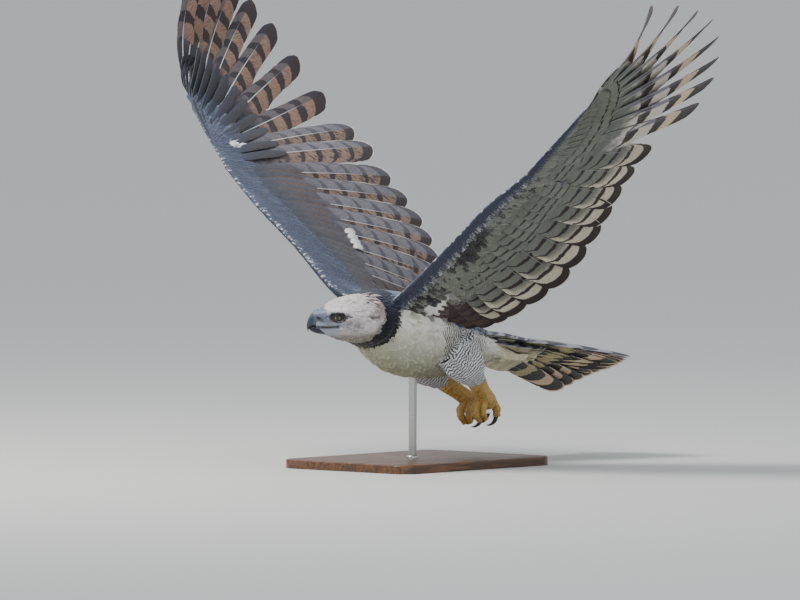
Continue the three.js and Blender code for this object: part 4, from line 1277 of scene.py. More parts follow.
# Each wing: barred secondaries and the first two primaries, notched fingers that turn towards the outermost,
# plain brown tertials against the body, rows of coverts over the bases, above and below, and the alula.
TERTIALS_OUT = [[58, 226, -76], [54, 200, -70], [50, 176, -62]]
BARRED = 8
BLUNT = 2
OUTER_COVERTS = 9
for label, wing in WINGS.items():
    mirror = np.array([wing["side"], 1, 1])
    rows_at = {}
    for region, ends, count in (("arm", ARM_ROOTS, SECONDARIES), ("hand", HAND_ROOTS, PRIMARIES)):
        rows_at[region] = (
            at(roots_along(wing[region], ends, count) * mirror),
            at(tips_along(wing[region + "_tips"], count) * mirror),
        )
    inner_roots = roots_along(wing["arm"], (0.65, 0.15), len(TERTIALS_OUT))
    arm_row = fan(
        np.concatenate([rows_at["arm"][0], at(inner_roots * mirror)]),
        np.concatenate([rows_at["arm"][1], at(TERTIALS_OUT * mirror)]), wing["side"],
        outer=[34] * 7 + [28] * 4 + [24] * 3, inner=[46] * 7 + [36] * 4 + [30] * 3,
        bow=8, sweep=-3, tilt=8.5,
    )
    secondaries = part_of(arm_row, 0, SECONDARIES)
    i = np.arange(1, PRIMARIES + 1)
    is_blunt = i <= BLUNT
    finger_share = np.clip((i - 3) / (PRIMARIES - 3), 0, 1)
    primaries = fan(
        *rows_at["hand"], wing["side"],
        outer=np.where(is_blunt, 27, 28 - i * 1.1), inner=np.where(is_blunt, 44, 54 - i * 1.6),
        bow=np.where(is_blunt, 6, -8 - i), sweep=np.where(is_blunt, 0, 4), rachis=2.2,
        twist=np.where(is_blunt, 0, np.interp(finger_share, [0, 1], wing["finger_twist"])),
    )
    arm_node, hand_node = f"wing_{label}_arm", f"wing_{label}_hand"
    arm, hand, both = [arm_node], [hand_node], [arm_node, hand_node]
    seed = 11 if label == "left" else 29
    barred = joined(part_of(primaries, 0, BLUNT), part_of(arm_row, 0, BARRED))
    grow_vanes(f"secondaries_{label}", round_tree, barred, secondary_look, both, seed)
    grow_vanes(f"tertials_{label}", round_tree, part_of(arm_row, BARRED), tertial_look, arm, seed + 5)
    fingers = part_of(primaries, BLUNT)
    grow_vanes(f"primaries_{label}", finger_tree, fingers, finger_looks[label], hand, seed + 1)

    lesser = {"tilt": 4, "rachis": 0.8}
    rows_above = joined(
        coverts(secondaries, 19, 0.02, 0.45, 6, outer=19, inner=25, **lesser),
        coverts(secondaries, 23, -0.06, 0.34, 9, outer=16, inner=20, **lesser),
    )
    outer_hand, outer_arm = part_of(primaries, 0, OUTER_COVERTS), part_of(secondaries, 0, OUTER_COVERTS)
    hand_above = coverts(outer_hand, 11, -0.02, 0.36, 7, outer=9, inner=14, **lesser)
    rows_below = joined(
        coverts(outer_arm, 14, 0.02, 0.4, -8, outer=19, inner=25, **lesser),
        coverts(primaries, 15, -0.02, 0.3, -8, outer=14, inner=20, **lesser),
    )
    alula = []
    for k in range(3):
        start, end = np.array([0.16 + k * 0.1]), np.array([1.75 - k * 0.3])
        lead, along = wing_section(wing["hand"], start)[:2]
        lead_end, along_end = wing_section(wing["hand"], end)[:2]
        high = unit(np.cross(unit(lead_end - lead), along))
        tip_at = lead_end + along_end * (22 + k * 9) + high * (3 + k)
        alula.append((lead + along * (16 + k * 7), tip_at, high))
    alula_roots, alula_tips, alula_up = (np.concatenate(v) for v in zip(*alula))
    thumb = fan(
        at(alula_roots * mirror), at(alula_tips * mirror), wing["side"], alula_up * mirror,
        outer=8, inner=14, bow=-2, tilt=6, rachis=1.2,
    )
    grow_vanes(f"coverts_above_{label}", small_tree, rows_above, covert_look, arm, seed + 2)
    if label == "right":
        # A few white bases show where two coverts have parted
        tuft = coverts(part_of(secondaries, 4, 6), 4, 0.36, 0.42, 13, outer=7, inner=8, tilt=9, rachis=0.4)
        tuft["roots"] = tuft["roots"] + tuft["normal"] * 8 * MM
        grow_vanes("white_tuft_right", small_tree, tuft, white_look, arm, seed + 7, Ragged=0.6)
    grow_vanes(f"coverts_hand_{label}", small_tree, hand_above, slate_look, hand, seed + 6)
    grow_vanes(f"coverts_below_{label}", small_tree, rows_below, under_look, both, seed + 3)
    grow_vanes(f"alula_{label}", small_tree, thumb, slate_look, hand, seed + 4)

# Tail: twelve broad vanes rolled a little to one side, with coverts over their bases above and below.
TAIL_VANES = 12
order = np.arange(TAIL_VANES)
tail_tips = at(track([
    [0, 126, 740, -172],
    [4, 68, 764, -194],
    [8, -22, 770, -222],
    [11, -96, 752, -258],
])(order))
spread = (5.5 - order) / 6
tail_roots = at(np.stack([26 * spread, 392 - 8 * np.abs(spread), -134 + 17 * spread], 1))
tail_roll = np.interp(spread, [-1, 0.1, 0.5, 0.95], [-0.64, -0.34, -0.12, 0.4])
tail_up = np.stack([tail_roll, 0.2 - 0.15 * (spread > 0.4), 1 + 0 * spread], 1)
tail = fan(tail_roots, tail_tips, 1, tail_up, outer=22, inner=34, bow=6, tilt=6.5)
tail["side"] = np.where(order < TAIL_VANES / 2, 1.0, -1.0)
tail["outward"] = tail["outward"] * tail["side"][:, None]
grow_vanes("tail_vanes", round_tree, tail, tail_look, ["tail"], 5, Ragged=0.3)
tail_coverts = joined(
    coverts(tail, 11, -0.1, 0.28, 5, outer=16, inner=18),
    coverts(tail, 9, -0.14, 0.18, 9, outer=16, inner=18),
    coverts(tail, 11, -0.1, 0.4, -7, outer=17, inner=20, tilt=3),
)
grow_vanes("tail_coverts", small_tree, tail_coverts, rump_look, ["tail"], 6, "body_plumage", Camber=0.12)

# Body, head, thigh and wing contour feathers: short soft vanes, each rooted in the hide and lying along it.
# Geometry Nodes scatter them at a spacing that follows their length and drape them over the hide.
LYING_WITHIN, FREE_BEYOND = 0.006, 0.016
BAR_SHADE = paint(28, 27, 30)


def coat_tree():
    given = new_tree("coat", [
        ("Material", "Material", None), ("Region", "String", ""), ("Spacing", "Float", 0.01),
        ("Width", "Float", 0.6), ("Seed", "Int", 1), ("Hide", "Object", None), ("Finest", "Float", 0.01),
    ])
    thinner = maths("MINIMUM", (given["Finest"] / named("reach")) ** 2.0, 1.0)
    scatter = add("GeometryNodeDistributePointsOnFaces", {
        "Mesh": given["Geometry"], "Distance Min": given["Spacing"],
        "Density Max": 1.6 / (given["Spacing"] * given["Spacing"]),
        "Density Factor": maths("GREATER_THAN", named(given["Region"]), 0.5) * thinner,
        "Seed": given["Seed"],
    }, distribute_method="POISSON")
    points, normal = (Worked(scatter.outputs[label]) for label in ("Points", "Normal"))
    points = stored(points, "out", normal, VECTOR)
    points = stored(points, "foot", first("GeometryNodeInputPosition"), VECTOR)
    chance = Worked(add("FunctionNodeRandomValue", {2: 0.0, 3: 1.0, "Seed": 7}).outputs[1])
    points = stored(points, "pick", chance)

    blade = first("GeometryNodeMeshCylinder", {
        "Vertices": 4, "Side Segments": 6, "Radius": 1.0, "Depth": 1.0,
    })
    blade = first("GeometryNodeTransform", {"Geometry": blade, "Rotation": (-math.pi / 2, 0, 0)})
    blade = stored(blade, "vane", first("GeometryNodeInputPosition") + (0, 0.5, 0), VECTOR)
    many = repeated(points, blade)

    x, t, z = parted(named("vane", VECTOR))
    pick, out, foot = named("pick"), named("out", VECTOR), named("foot", VECTOR)
    length = named("reach") * (pick * 0.3 + 0.85)
    yaw = (maths("FRACT", pick * 17.3) - 0.5) * 0.3
    way = first("ShaderNodeVectorRotate", {"Vector": named("lie", VECTOR), "Axis": out, "Angle": yaw})
    across = vectors("NORMALIZE", vectors("CROSS_PRODUCT", way, out))
    way = vectors("NORMALIZE", vectors("CROSS_PRODUCT", out, across))
    profile = line_of(t, [[0, 0.35], [0.3, 0.9], [0.6, 1], [0.85, 0.8], [1, 0.3]])
    half = length * given["Width"] * 0.5
    angle = named("stand") * (math.pi / 180) * (maths("FRACT", pick * 7.7) * 0.7 + 0.65)
    up = length * t * maths("SINE", angle) + z * profile * (length * 0.035) - x * x * half * 0.22
    flat = foot + across * (half * profile * x) + way * (length * t * maths("COSINE", angle))

    # Near the hide the feather follows it, and past its edges it stands free
    hide = add("GeometryNodeObjectInfo", {"Object": given["Hide"]}, transform_space="RELATIVE")
    hide = Worked(hide.outputs["Geometry"])

    def on_hide(value):
        values = {"Mesh": hide, "Value": value, "Sample Position": flat}
        return first("GeometryNodeSampleNearestSurface", values, data_type=VECTOR)

    facing = on_hide(first("GeometryNodeInputNormal"))
    nearest = on_hide(first("GeometryNodeInputPosition"))
    lying = nearest + vectors("NORMALIZE", facing) * up
    gap = Worked(add("ShaderNodeVectorMath", flat, nearest, operation="DISTANCE").outputs["Value"])
    close = first("ShaderNodeMapRange", {
        "Value": gap, "From Min": LYING_WITHIN, "From Max": FREE_BEYOND, "To Min": 1.0, "To Max": 0.0,
    })
    placed = add("ShaderNodeMix", {0: close, 4: flat + out * up, 5: lying}, data_type="VECTOR").outputs[1]
    laid = first("GeometryNodeSetPosition", {"Geometry": many, "Position": Worked(placed)})
    patch = combined(x * 0.0015, (t - 0.5) * 0.003, 0.0)
    laid = stored(laid, "OFBake", named("OFBake", VECTOR) + patch, "FLOAT2", "CORNER")
    return ended(laid, given["Material"])


def coat_material(name, bar_period=0.2, bar_width=0.5, streak=0.3, contrast=0.15):
    """Colours come from the hide at the feather's root: its own shade, its tip's and its bars."""
    material, shader = new_material(
        name, 0.72, Sheen_Weight=0.25, Sheen_Roughness=0.5, Specular_IOR_Level=0.25,
    )
    x, t = parted(attribute("vane", "Vector"))[:2]
    pick, side = attribute("pick"), maths("ABSOLUTE", x)
    barbs = noise(combined(x * 2.2, (t + side * 0.4) * 7.0, pick * 80.0), 1.6, 4.0)
    near_tip = t + side * 0.12 + (barbs - 0.5) * 0.25
    colour = mixed(ranged(near_tip, 0.72, 0.98), attribute("main", "Color"), attribute("tips", "Color"))
    colour = mixed(ranged(side, 0.16, 0.0) * streak, colour, tinted(colour, (0.35, 0.35, 0.37, 1)))
    bend = t + side * -0.1 + barbs * 0.12 + pick * bar_period
    phase = maths("ABSOLUTE", maths("FRACT", bend / bar_period) - 0.5)
    bar = ranged(phase, bar_width / 2 + 0.08, bar_width / 2 - 0.08) * attribute("bars")
    colour = mixed(bar, colour, BAR_SHADE)
    tone = ranged(barbs, 0.3, 0.7, 1 - contrast, 1 + contrast * 0.7)
    tone = tone * (pick * (contrast * 1.4) + (1 - contrast * 0.8))
    drive(shader, toned(colour, tone), (barbs, 0.5, 0.0008))
    return material


scatter_tree = coat_tree()
soft_look = coat_material("soft_feathers", streak=0.2)
breast_look = coat_material("breast_feathers", streak=0.04, contrast=0.07)
barred_look = coat_material("barred_feathers", bar_period=0.21, bar_width=0.42, streak=0.0, contrast=0.08)
head_look = coat_material("head_feathers", streak=0.12, contrast=0.12)


def grow_coat(name, region, spacing, look, nodes, seed, slot="body_plumage", **inputs):
    made = new_object(name, skin.data.copy())
    modifier = made.modifiers.new("coat", "NODES")
    modifier.node_group = scatter_tree
    usual = {"Material": look, "Region": region, "Spacing": spacing, "Hide": skin, "Seed": seed}
    give(modifier, {**usual, **inputs})
    settle(made)
    belongs(made, nodes)


THIGHS = ["thigh_left", "thigh_right"]
grow_coat("coat_trunk", "in_trunk", 0.0044, breast_look, ["torso"], 3, Finest=0.016, Width=0.6)
grow_coat("coat_rump", "in_rump", 0.0085, breast_look, ["tail"], 4, Finest=0.036)
grow_coat("coat_thighs", "in_thigh", 0.0065, barred_look, THIGHS, 5, Finest=0.028, Width=0.5)
grow_coat("coat_collar", "in_neck", 0.0040, soft_look, ["neck"], 6, "collar_plumage", Finest=0.016)
grow_coat("coat_head", "in_head", 0.0019, head_look, ["head"], 7, "head_plumage", Finest=0.0045, Width=0.5)
for label in ("arm", "hand"):
    both = [f"wing_left_{label}", f"wing_right_{label}"]
    grow_coat(f"coat_{label}s", "in_" + label, 0.0048, soft_look, both, 8, "flight_plumage", Finest=0.013)

skin_look, shader = new_material("hide", 0.8)
BAR_GAP = 0.0066
spot = Worked(add("ShaderNodeTexCoord").outputs["Object"])
turns = attribute("run") / BAR_GAP + noise(spot, 60.0, 2.0)
bar = ranged(maths("ABSOLUTE", maths("FRACT", turns) - 0.5), 0.26, 0.16) * attribute("lines")
drive(shader, mixed(bar, attribute("main", "Color"), BAR_SHADE))
skin.data.materials.append(skin_look)
belongs(skin, ["torso", "neck", "head", *THIGHS])


# Bill: a deep hooked upper half and a shorter lower one, both dark horn. The upper half is paler on the
# ridge and front and darkens to its lower edge, partly a grey bloom and partly a painted highlight where it
# faces the light. The horn is one smooth loft each, with its shades painted on as attributes.
UPPER_BILL = [
    [38, 20, 38, -20, 15.5],
    [53, 17.5, 52, -20, 14],
    [63, 10, 59.5, -19, 11],
    [70, -0.5, 64, -20.5, 7.6],
    [73.5, -12, 67.5, -23, 4.6],
    [73.3, -23, 69.8, -27, 2.4],
    [70.8, -31.5, 69.8, -31, 0.7],
]
LOWER_BILL = [
    [32, -19, 34, -38, 14],
    [48, -18.8, 48, -36, 11.8],
    [58, -18.2, 58, -33, 9],
    [65, -19.5, 65, -29.5, 5],
    [68.4, -22.5, 68, -26.5, 2.2],
]


def bill_rings(sections, stations, sides, ridged):
    ridge_at, ridge, edge_at, edge, half = smooth_rows(sections, stations).T
    above_at, below_at = (np.stack([a, 0 * a, b], 1) for a, b in ((ridge_at, ridge), (edge_at, edge)))
    middle, high = (above_at + below_at) / 2, unit(above_at - below_at)
    tall = np.linalg.norm(above_at - below_at, axis=1) / 2
    turn = 2 * np.pi * (np.arange(sides) + 0.5) / sides
    c, s = np.cos(turn), np.sin(turn)
    wide = np.sign(c) * np.abs(c) ** 0.85 * (1 - ridged * np.maximum(s, 0) ** 3)
    lift = np.sign(s) * np.abs(s) ** np.where(s < 0, 0.75, 1.0)
    rings = middle[:, None] + high[:, None] * (lift * tall[:, None])[:, :, None]
    rings[:, :, 1] += wide * half[:, None]
    return rings


def horn_material(name, dark, pale, rough):
    """Horn: fine lengthwise growth lines, a pale bloom and painted highlight by its attribute, painted shade
    near black in hollows, and scuffs that change the gloss.
    """
    material, shader = new_material(name, rough, Coat_Weight=0.12, Coat_Roughness=0.3)
    spot = attribute("grain", "Vector")
    lines, scuff = noise(spot, 2.2, 5.0), noise(spot, 7.0)
    colour = mixed(attribute("bloom"), dark, pale)
    colour = mixed(ranged(lines, 0.35, 0.75, 0.0, 0.45), colour, dark)
    # Painted shade: near black where the hollow attribute marks the inside of an opening.
    colour = mixed(attribute("hollow"), colour, (0.004, 0.004, 0.005))
    gloss = ranged(scuff, 0.3, 0.8, rough - 0.1, rough + 0.22)
    drive(shader, colour, (lines + scuff * 0.4, 0.25, 0.0005), gloss)
    return material


def horn_mesh(name, points, faces):
    """A mesh in the head's frame, and its points' places there: forward, to the left and up."""
    mesh = new_mesh(name, in_head(points), faces)
    return mesh, from_head(read_points(mesh)).T


def mark_horn(mesh, bloom, grain, hollow=0.0):
    """What horn_material reads: pale bloom and painted highlight, painted dark shade in hollows and the
    places that the growth lines follow.
    """
    store(mesh, "bloom", np.clip(bloom, 0, 1))
    store(mesh, "hollow", hollow + np.zeros(len(grain)))
    store(mesh, "grain", grain)


def finish_piece(name, mesh, look, nodes, sharp=None):
    """Edges above sharp degrees stay hard."""
    made = new_object(name, mesh)
    if sharp:
        mesh.set_sharp_from_angle(angle=math.radians(sharp))
    mesh.materials.clear()
    mesh.materials.append(look)
    bpy.context.view_layer.objects.active = made
    made.select_set(True)
    bpy.ops.object.mode_set(mode="EDIT")
    bpy.ops.mesh.select_all(action="SELECT")
    bpy.ops.uv.smart_project(angle_limit=1.15, island_margin=0.01, scale_to_bounds=True)
    bpy.ops.object.mode_set(mode="OBJECT")
    made.select_set(False)
    belongs(made, nodes)


def head_side(forward, high):
    """How far the head's side lies from its middle plane, in millimetres."""
    middle, half, tall = track(HEAD)(np.ravel(forward)).T
    level = (np.ravel(high) - middle) / tall
    return (half * np.sqrt(np.maximum(1 - level**2, 0.02))).reshape(np.shape(forward))


bill_look = horn_material("bill_horn", paint(22, 25, 36), paint(112, 126, 152), 0.36)
for name, sections, ridged in (("upper", UPPER_BILL, 0.3), ("lower", LOWER_BILL, 0.0)):
    rings = bill_rings(sections, 70, 44, ridged)
    mesh, (f, side, u) = horn_mesh("bill_" + name, *lofted(rings))
    if name == "upper":
        # Partly painted highlight: the upper half is paler on the ridge and front, where it faces the light,
        # and darkens to its lower edge.
        ridge = smoothstep(9, 0, np.abs(side)) * smoothstep(-24, 6, u)
        bloom = (0.15 + 0.5 * ridge + 0.3 * smoothstep(66, 55, f)) * smoothstep(-24, -12, u)
    else:
        bloom = 0.25 * smoothstep(52, 40, f)
    mark_horn(mesh, bloom, np.stack([f * 0.08, side * 0.5, u * 0.35], 1))
    finish_piece("bill_" + name, mesh, bill_look, ["bill_" + name])

# Cere: bare waxy skin round the base of the bill, grey-blue, with a slanted nostril on each side. It is
# paler towards the top and darker low down, a painted highlight and shade of light from above, and the
# nostril's slit is painted near black as the shade inside it. Its upper part dips under the feathers of the
# forehead.
CERE = [
    [33, -2, 31.5, 34.5], [42, -1.5, 25.5, 28.5], [50, 0.5, 19.6, 21.6], [56, 1.2, 15.8, 18.4],
    [58.5, 0.5, 13.4, 16.6],
]
CERE_ROWS, CERE_SIDES = 60, 96
NOSTRIL = [48.5, -1.0]


def from_nostril(forward, high):
    """0 in the middle of the slanted slit of the nostril, 1 at its edge."""
    along, across = forward - NOSTRIL[0], high - NOSTRIL[1]
    return np.hypot((along * 0.82 + across * 0.57) / 5.4, (across * 0.82 - along * 0.57) / 2.1)


cere_rows = smooth_rows(CERE, CERE_ROWS)
turn = 2 * np.pi * (np.arange(CERE_SIDES) + 0.5) / CERE_SIDES
c, s = np.cos(turn), np.sin(turn)
dip = smoothstep(0.45, 0.85, s) * 4.0 + 1.0
rings = np.stack([
    np.broadcast_to(cere_rows[:, :1], (CERE_ROWS, CERE_SIDES)),
    c * (cere_rows[:, 2:3] - dip),
    cere_rows[:, 1:2] + s * (cere_rows[:, 3:4] - dip),
], -1)
slit = from_nostril(rings[:, :, 0], rings[:, :, 2])
rim = smoothstep(1.9, 1.3, slit) * smoothstep(0.8, 1.3, slit)
rings[:, :, 1] += np.sign(c) * (rim * 0.7 - smoothstep(1.15, 0.7, slit) * 1.1)
mesh, (f, side, u) = horn_mesh("cere", *lofted(rings))
slit = from_nostril(f, u)
# Painted highlight and shade: paler towards the top and darker low down; darker too round the nostril.
bloom = 0.4 + 0.45 * smoothstep(-4, 14, u) - 0.3 * smoothstep(-14, -20, u)
bloom = bloom - 0.25 * smoothstep(2.6, 1.2, slit)
# Painted shade: the slit is near black, as the shade inside the nostril.
in_slit = smoothstep(1.2, 0.9, slit) * (np.abs(side) > 5)
mark_horn(mesh, bloom, np.stack([f, side, u], 1) * 0.35, in_slit)
cere_look = horn_material("cere_wax", paint(46, 51, 64), paint(124, 134, 154), 0.45)
finish_piece("cere", mesh, cere_look, ["head"])

# Eyes: a glossy ball with a grey-yellow iris whose upper part is darkened by a painted shadow of the brow,
# in bare dark skin with soft lids under the brow. A near-black line along the gape, partly dark skin and
# partly painted shade in the slit of the mouth, and a soft grey lip are thin lofts that follow the side of
# the head.
BALL_ROWS, BALL_SIDES = 33, 48
BEHIND_IRIS = 10
eye_look, shader = new_material("eye", 0.12, Coat_Weight=0.6, Coat_Roughness=0.03)
from_pupil = attribute("iris")
rays = noise(attribute("spoke", "Vector"), 9.0, 4.0)
colour = mixed(ranged(rays, 0.3, 0.7), paint(136, 130, 102), paint(198, 194, 160))
colour = mixed(ranged(from_pupil, 3.9, 5.4), paint(70, 64, 48), colour)
# Painted shadow: the iris darkens towards its top, under the brow.
colour = mixed(attribute("shade"), colour, paint(38, 32, 26))
colour = mixed(ranged(from_pupil, 6.4, 7.2), colour, (0.006, 0.005, 0.005))
drive(shader, mixed(ranged(from_pupil, 3.5, 3.8), (0.002, 0.002, 0.002), colour))
lid_look = horn_material("orbit_skin", paint(24, 17, 19), paint(74, 54, 56), 0.5)
for name, side in (("left", 1), ("right", -1)):
    rows = np.linspace(0, np.pi, BALL_ROWS)
    turn = 2 * np.pi * np.arange(BALL_SIDES) / BALL_SIDES
    gaze = math.radians(5)
    lift, depth = np.sin(rows)[:, None], np.cos(rows)[:, None] + 0 * turn
    ball = np.stack([lift * np.cos(turn), depth, lift * np.sin(turn)], -1)
    ball[:, :, 1] += 0.06 * smoothstep(0.55, 0.2, rows)[:, None]
    points, faces = lofted(ball[1:-1] * EYE_RADIUS)
    points[-2:] = [[0, EYE_RADIUS * 1.06, 0], [0, -EYE_RADIUS, 0]]
    iris = np.hypot(points[:, 0], points[:, 2])
    f = points[:, 0] * math.cos(gaze) + points[:, 1] * math.sin(gaze)
    out_from = points[:, 1] * math.cos(gaze) - points[:, 0] * math.sin(gaze)
    mesh = bpy.data.meshes.new("eye_" + name)
    placed = in_head(np.stack([f + EYE_AT[0], (out_from + EYE_AT[1]) * side, points[:, 2] + EYE_AT[2]], 1))
    mesh.from_pydata(placed.tolist(), [], faces if side < 0 else [face[::-1] for face in faces])
    mesh.shade_smooth()
    iris[out_from < 0] = BEHIND_IRIS
    store(mesh, "iris", iris)
    # Painted shadow of the brow over the iris's upper half.
    store(mesh, "shade", smoothstep(-1.5, 3.5, points[:, 2]) * 0.85)
    store(mesh, "spoke", unit(points) * [1, 0.15, 1])
    finish_piece("eye_" + name, mesh, eye_look, ["eye_" + name])

    centre = np.array([8.5, 2.4])
    rim_rows = track([
        [0, 20, 14.5, -5.5], [1, 18, 12.4, -1.8], [2, 15.6, 10.4, -2.4], [3, 13, 8.6, -3.4],
    ])(np.linspace(0, 3, 14))
    turn = 2 * np.pi * np.arange(64) / 64
    c, s = np.cos(turn), np.sin(turn)
    almond = np.where(s > 0, 0.9, 1.0)
    rings = []
    for wide, tall, depth in rim_rows:
        f, u = centre[0] + wide * c, centre[1] + tall * s * np.where(s > 0, 0.86, 1.0) + tall * 0.05 * c
        wrinkle = 0.35 * np.sin(wide * 2.6 + 2 * c) * smoothstep(19, 16, wide)
        rings.append(np.stack([f, head_side(f, u) + depth + wrinkle, u], 1))
    for wide, tall, over in (
        (11.6, 7.8, 0.9), (10.8, 7.1, 1.6), (10, 6.4, 2.0), (9.3, 5.8, 2.0), (8.8, 5.4, 1.6),
        (8.5, 5.2, 0.9), (8.6, 5.2, -0.6), (8.8, 5.4, -2.5),
    ):
        f, u = wide * c, tall * s * almond - wide * c * 0.08
        ball = np.sqrt(np.maximum((EYE_RADIUS + over) ** 2 - f**2 - u**2, 4))
        over_head = head_side(f + centre[0], u + centre[1]) - 3.2
        reach_out = ball + EYE_AT[1]
        if wide > 11:
            reach_out = (reach_out + over_head) / 2
        rings.append(np.stack([f + centre[0], reach_out, u + centre[1]], 1))
    rings = np.array(rings) * [1, side, 1]
    points, faces = lofted(rings)
    points[-2:, 1] = 24 * side
    points[-2:, 0], points[-2:, 2] = centre
    mesh, (f, out_from, u) = horn_mesh("orbit_" + name, points, faces)
    bloom = smoothstep(8, 14, np.hypot(f - centre[0], (u - centre[1]) * 1.5)) * 0.5
    mark_horn(mesh, bloom, np.stack([f, out_from, u], 1) * 0.5)
    finish_piece("orbit_" + name, mesh, lid_look, ["head"])

    # The gape's near-black line is partly dark skin and partly painted shade in the slit of the mouth.
    for lip, drop, thick, tall, shades in (
        ("gape", 0.0, 2.2, 1.6, (paint(12, 9, 11), paint(26, 18, 22))),
        ("lip", -3.0, 2.2, 1.8, (paint(66, 72, 86), paint(120, 130, 148))),
    ):
        f = np.linspace(54, 5, 44)
        u = -19.4 + drop + 1.6 * smoothstep(30, 5, f)
        half = np.maximum(head_side(f, u), np.interp(f, [38, 53, 60], [15.8, 14.6, 11])) - 0.6
        fade = smoothstep(4, 9, f) * smoothstep(56, 50, f) * 0.9 + 0.1
        path = in_head(np.stack([f, half * side, u], 1))
        mesh = new_mesh(f"{lip}_{name}", *lofted(rings_along(path, thick * fade * MM, tall * fade * MM, 12)))
        f, out_from, u = from_head(read_points(mesh)).T
        mark_horn(mesh, 0.3 + 0.5 * smoothstep(40, 15, f), np.stack([f, out_from, u], 1) * 0.4)
        look = horn_material(f"{lip}_{name}", *shades, 0.5)
        finish_piece(f"{lip}_{name}", mesh, look, ["head"])

# Crest: two tiers of longer feathers laid back over the nape.
CREST = [
    {"count": 9, "root": -34, "tip": -72, "high": 47, "lift": 5, "wide": 30},
    {"count": 8, "root": -50, "tip": -90, "high": 46, "lift": 3, "wide": 25},
]
crest_rng = np.random.default_rng(5)
crest_roots, crest_tips, crest_up = [], [], []
for tier in CREST:
    share = np.linspace(-1, 1, tier["count"])
    drop = 9 * share**2
    crest_roots.append(in_head(np.stack([
        tier["root"] + 0 * share, share * tier["wide"] * 0.7, tier["high"] - drop - 2,
    ], 1)))
    crest_tips.append(in_head(np.stack([
        tier["tip"] + 7 * np.abs(share), share * tier["wide"], tier["high"] + tier["lift"] - drop * 1.6,
    ], 1) + crest_rng.uniform(-1, 1, (len(share), 3)) * [8, 4, 3]))
    crest_up.append(HEAD_UP + share[:, None] * 0.5 * HEAD_LEFT)
crest = fan(
    np.concatenate(crest_roots), np.concatenate(crest_tips), 1, np.concatenate(crest_up),
    outer=4.5, inner=4.5, bow=3, tilt=0, rachis=0.5,
)
crest_look = vane_material(
    "crest_vanes",
    shades_of((196, 184, 182), (150, 130, 126), (196, 184, 182), (150, 130, 126)),
    shades_of((160, 150, 148), (120, 106, 104), (160, 150, 148), (120, 106, 104)),
    (NO_BAR, 100, 10), (0.2, 3), shades_of((150, 136, 132), (168, 158, 154)),
    (0.4, 0.8, paint(200, 192, 191), paint(160, 152, 150), 1.0), mottle=0.4,
)
grow_vanes("crest", small_tree, crest, crest_look, ["head"], 17, "head_plumage", Camber=0.1, Ragged=0.5)

# Legs: very thick ochre shanks and toes in scaled skin, with broad plates down the front and pads beneath,
# and long black claws. Every part is a loft from the same sizes as the solids.
TOES = [
    dict(zip(("name", "turn", "step", "curl", "count", "thick", "start", "claw", "hook"), toe)) for toe in (
        ("inner", -26, 17, 48, 4, 9.5, 2, 32, 16),
        ("middle", 0, 18, 46, 4, 10, 6, 32, 16),
        ("outer", 26, 16, 48, 4, 9, 2, 30, 16),
        ("hind", 180, 17, 38, 3, 11, -12, 44, 20),
    )
]
SCALE_SIZE = 0.0032
CLAW_BITES = 4

# Scaled skin: small cells between broad plates, with the seams darker
scale_look, shader = new_material("scaled_skin", 0.5, Sheen_Weight=0.05)
spot = attribute("grain", "Vector")
cells = first("ShaderNodeTexVoronoi", {"Vector": spot, "Scale": 1.0}, feature="DISTANCE_TO_EDGE")
tint = Worked(add("ShaderNodeTexVoronoi", {"Vector": spot, "Scale": 1.0}).outputs["Color"])
tint = first("ShaderNodeSeparateColor", tint)
slow, fine = noise(spot, 0.25), noise(spot, 2.5, 4.0)
colour = mixed(ranged(slow, 0.35, 0.7), paint(206, 163, 76), paint(226, 192, 112))
colour = mixed(ranged(tint, 0.0, 1.0, 0.0, 0.35), colour, paint(172, 122, 46))
colour = mixed(ranged(fine, 0.45, 0.8, 0.0, 0.5), colour, paint(222, 198, 134))
seam = maths("MAXIMUM", ranged(cells, 0.09, 0.0), attribute("seam"))
colour = mixed(seam * 0.75, colour, paint(84, 58, 28))
drive(shader, colour, (fine * 0.25 - seam, 0.7, 0.0009), ranged(fine, 0.2, 0.8, 0.38, 0.6))


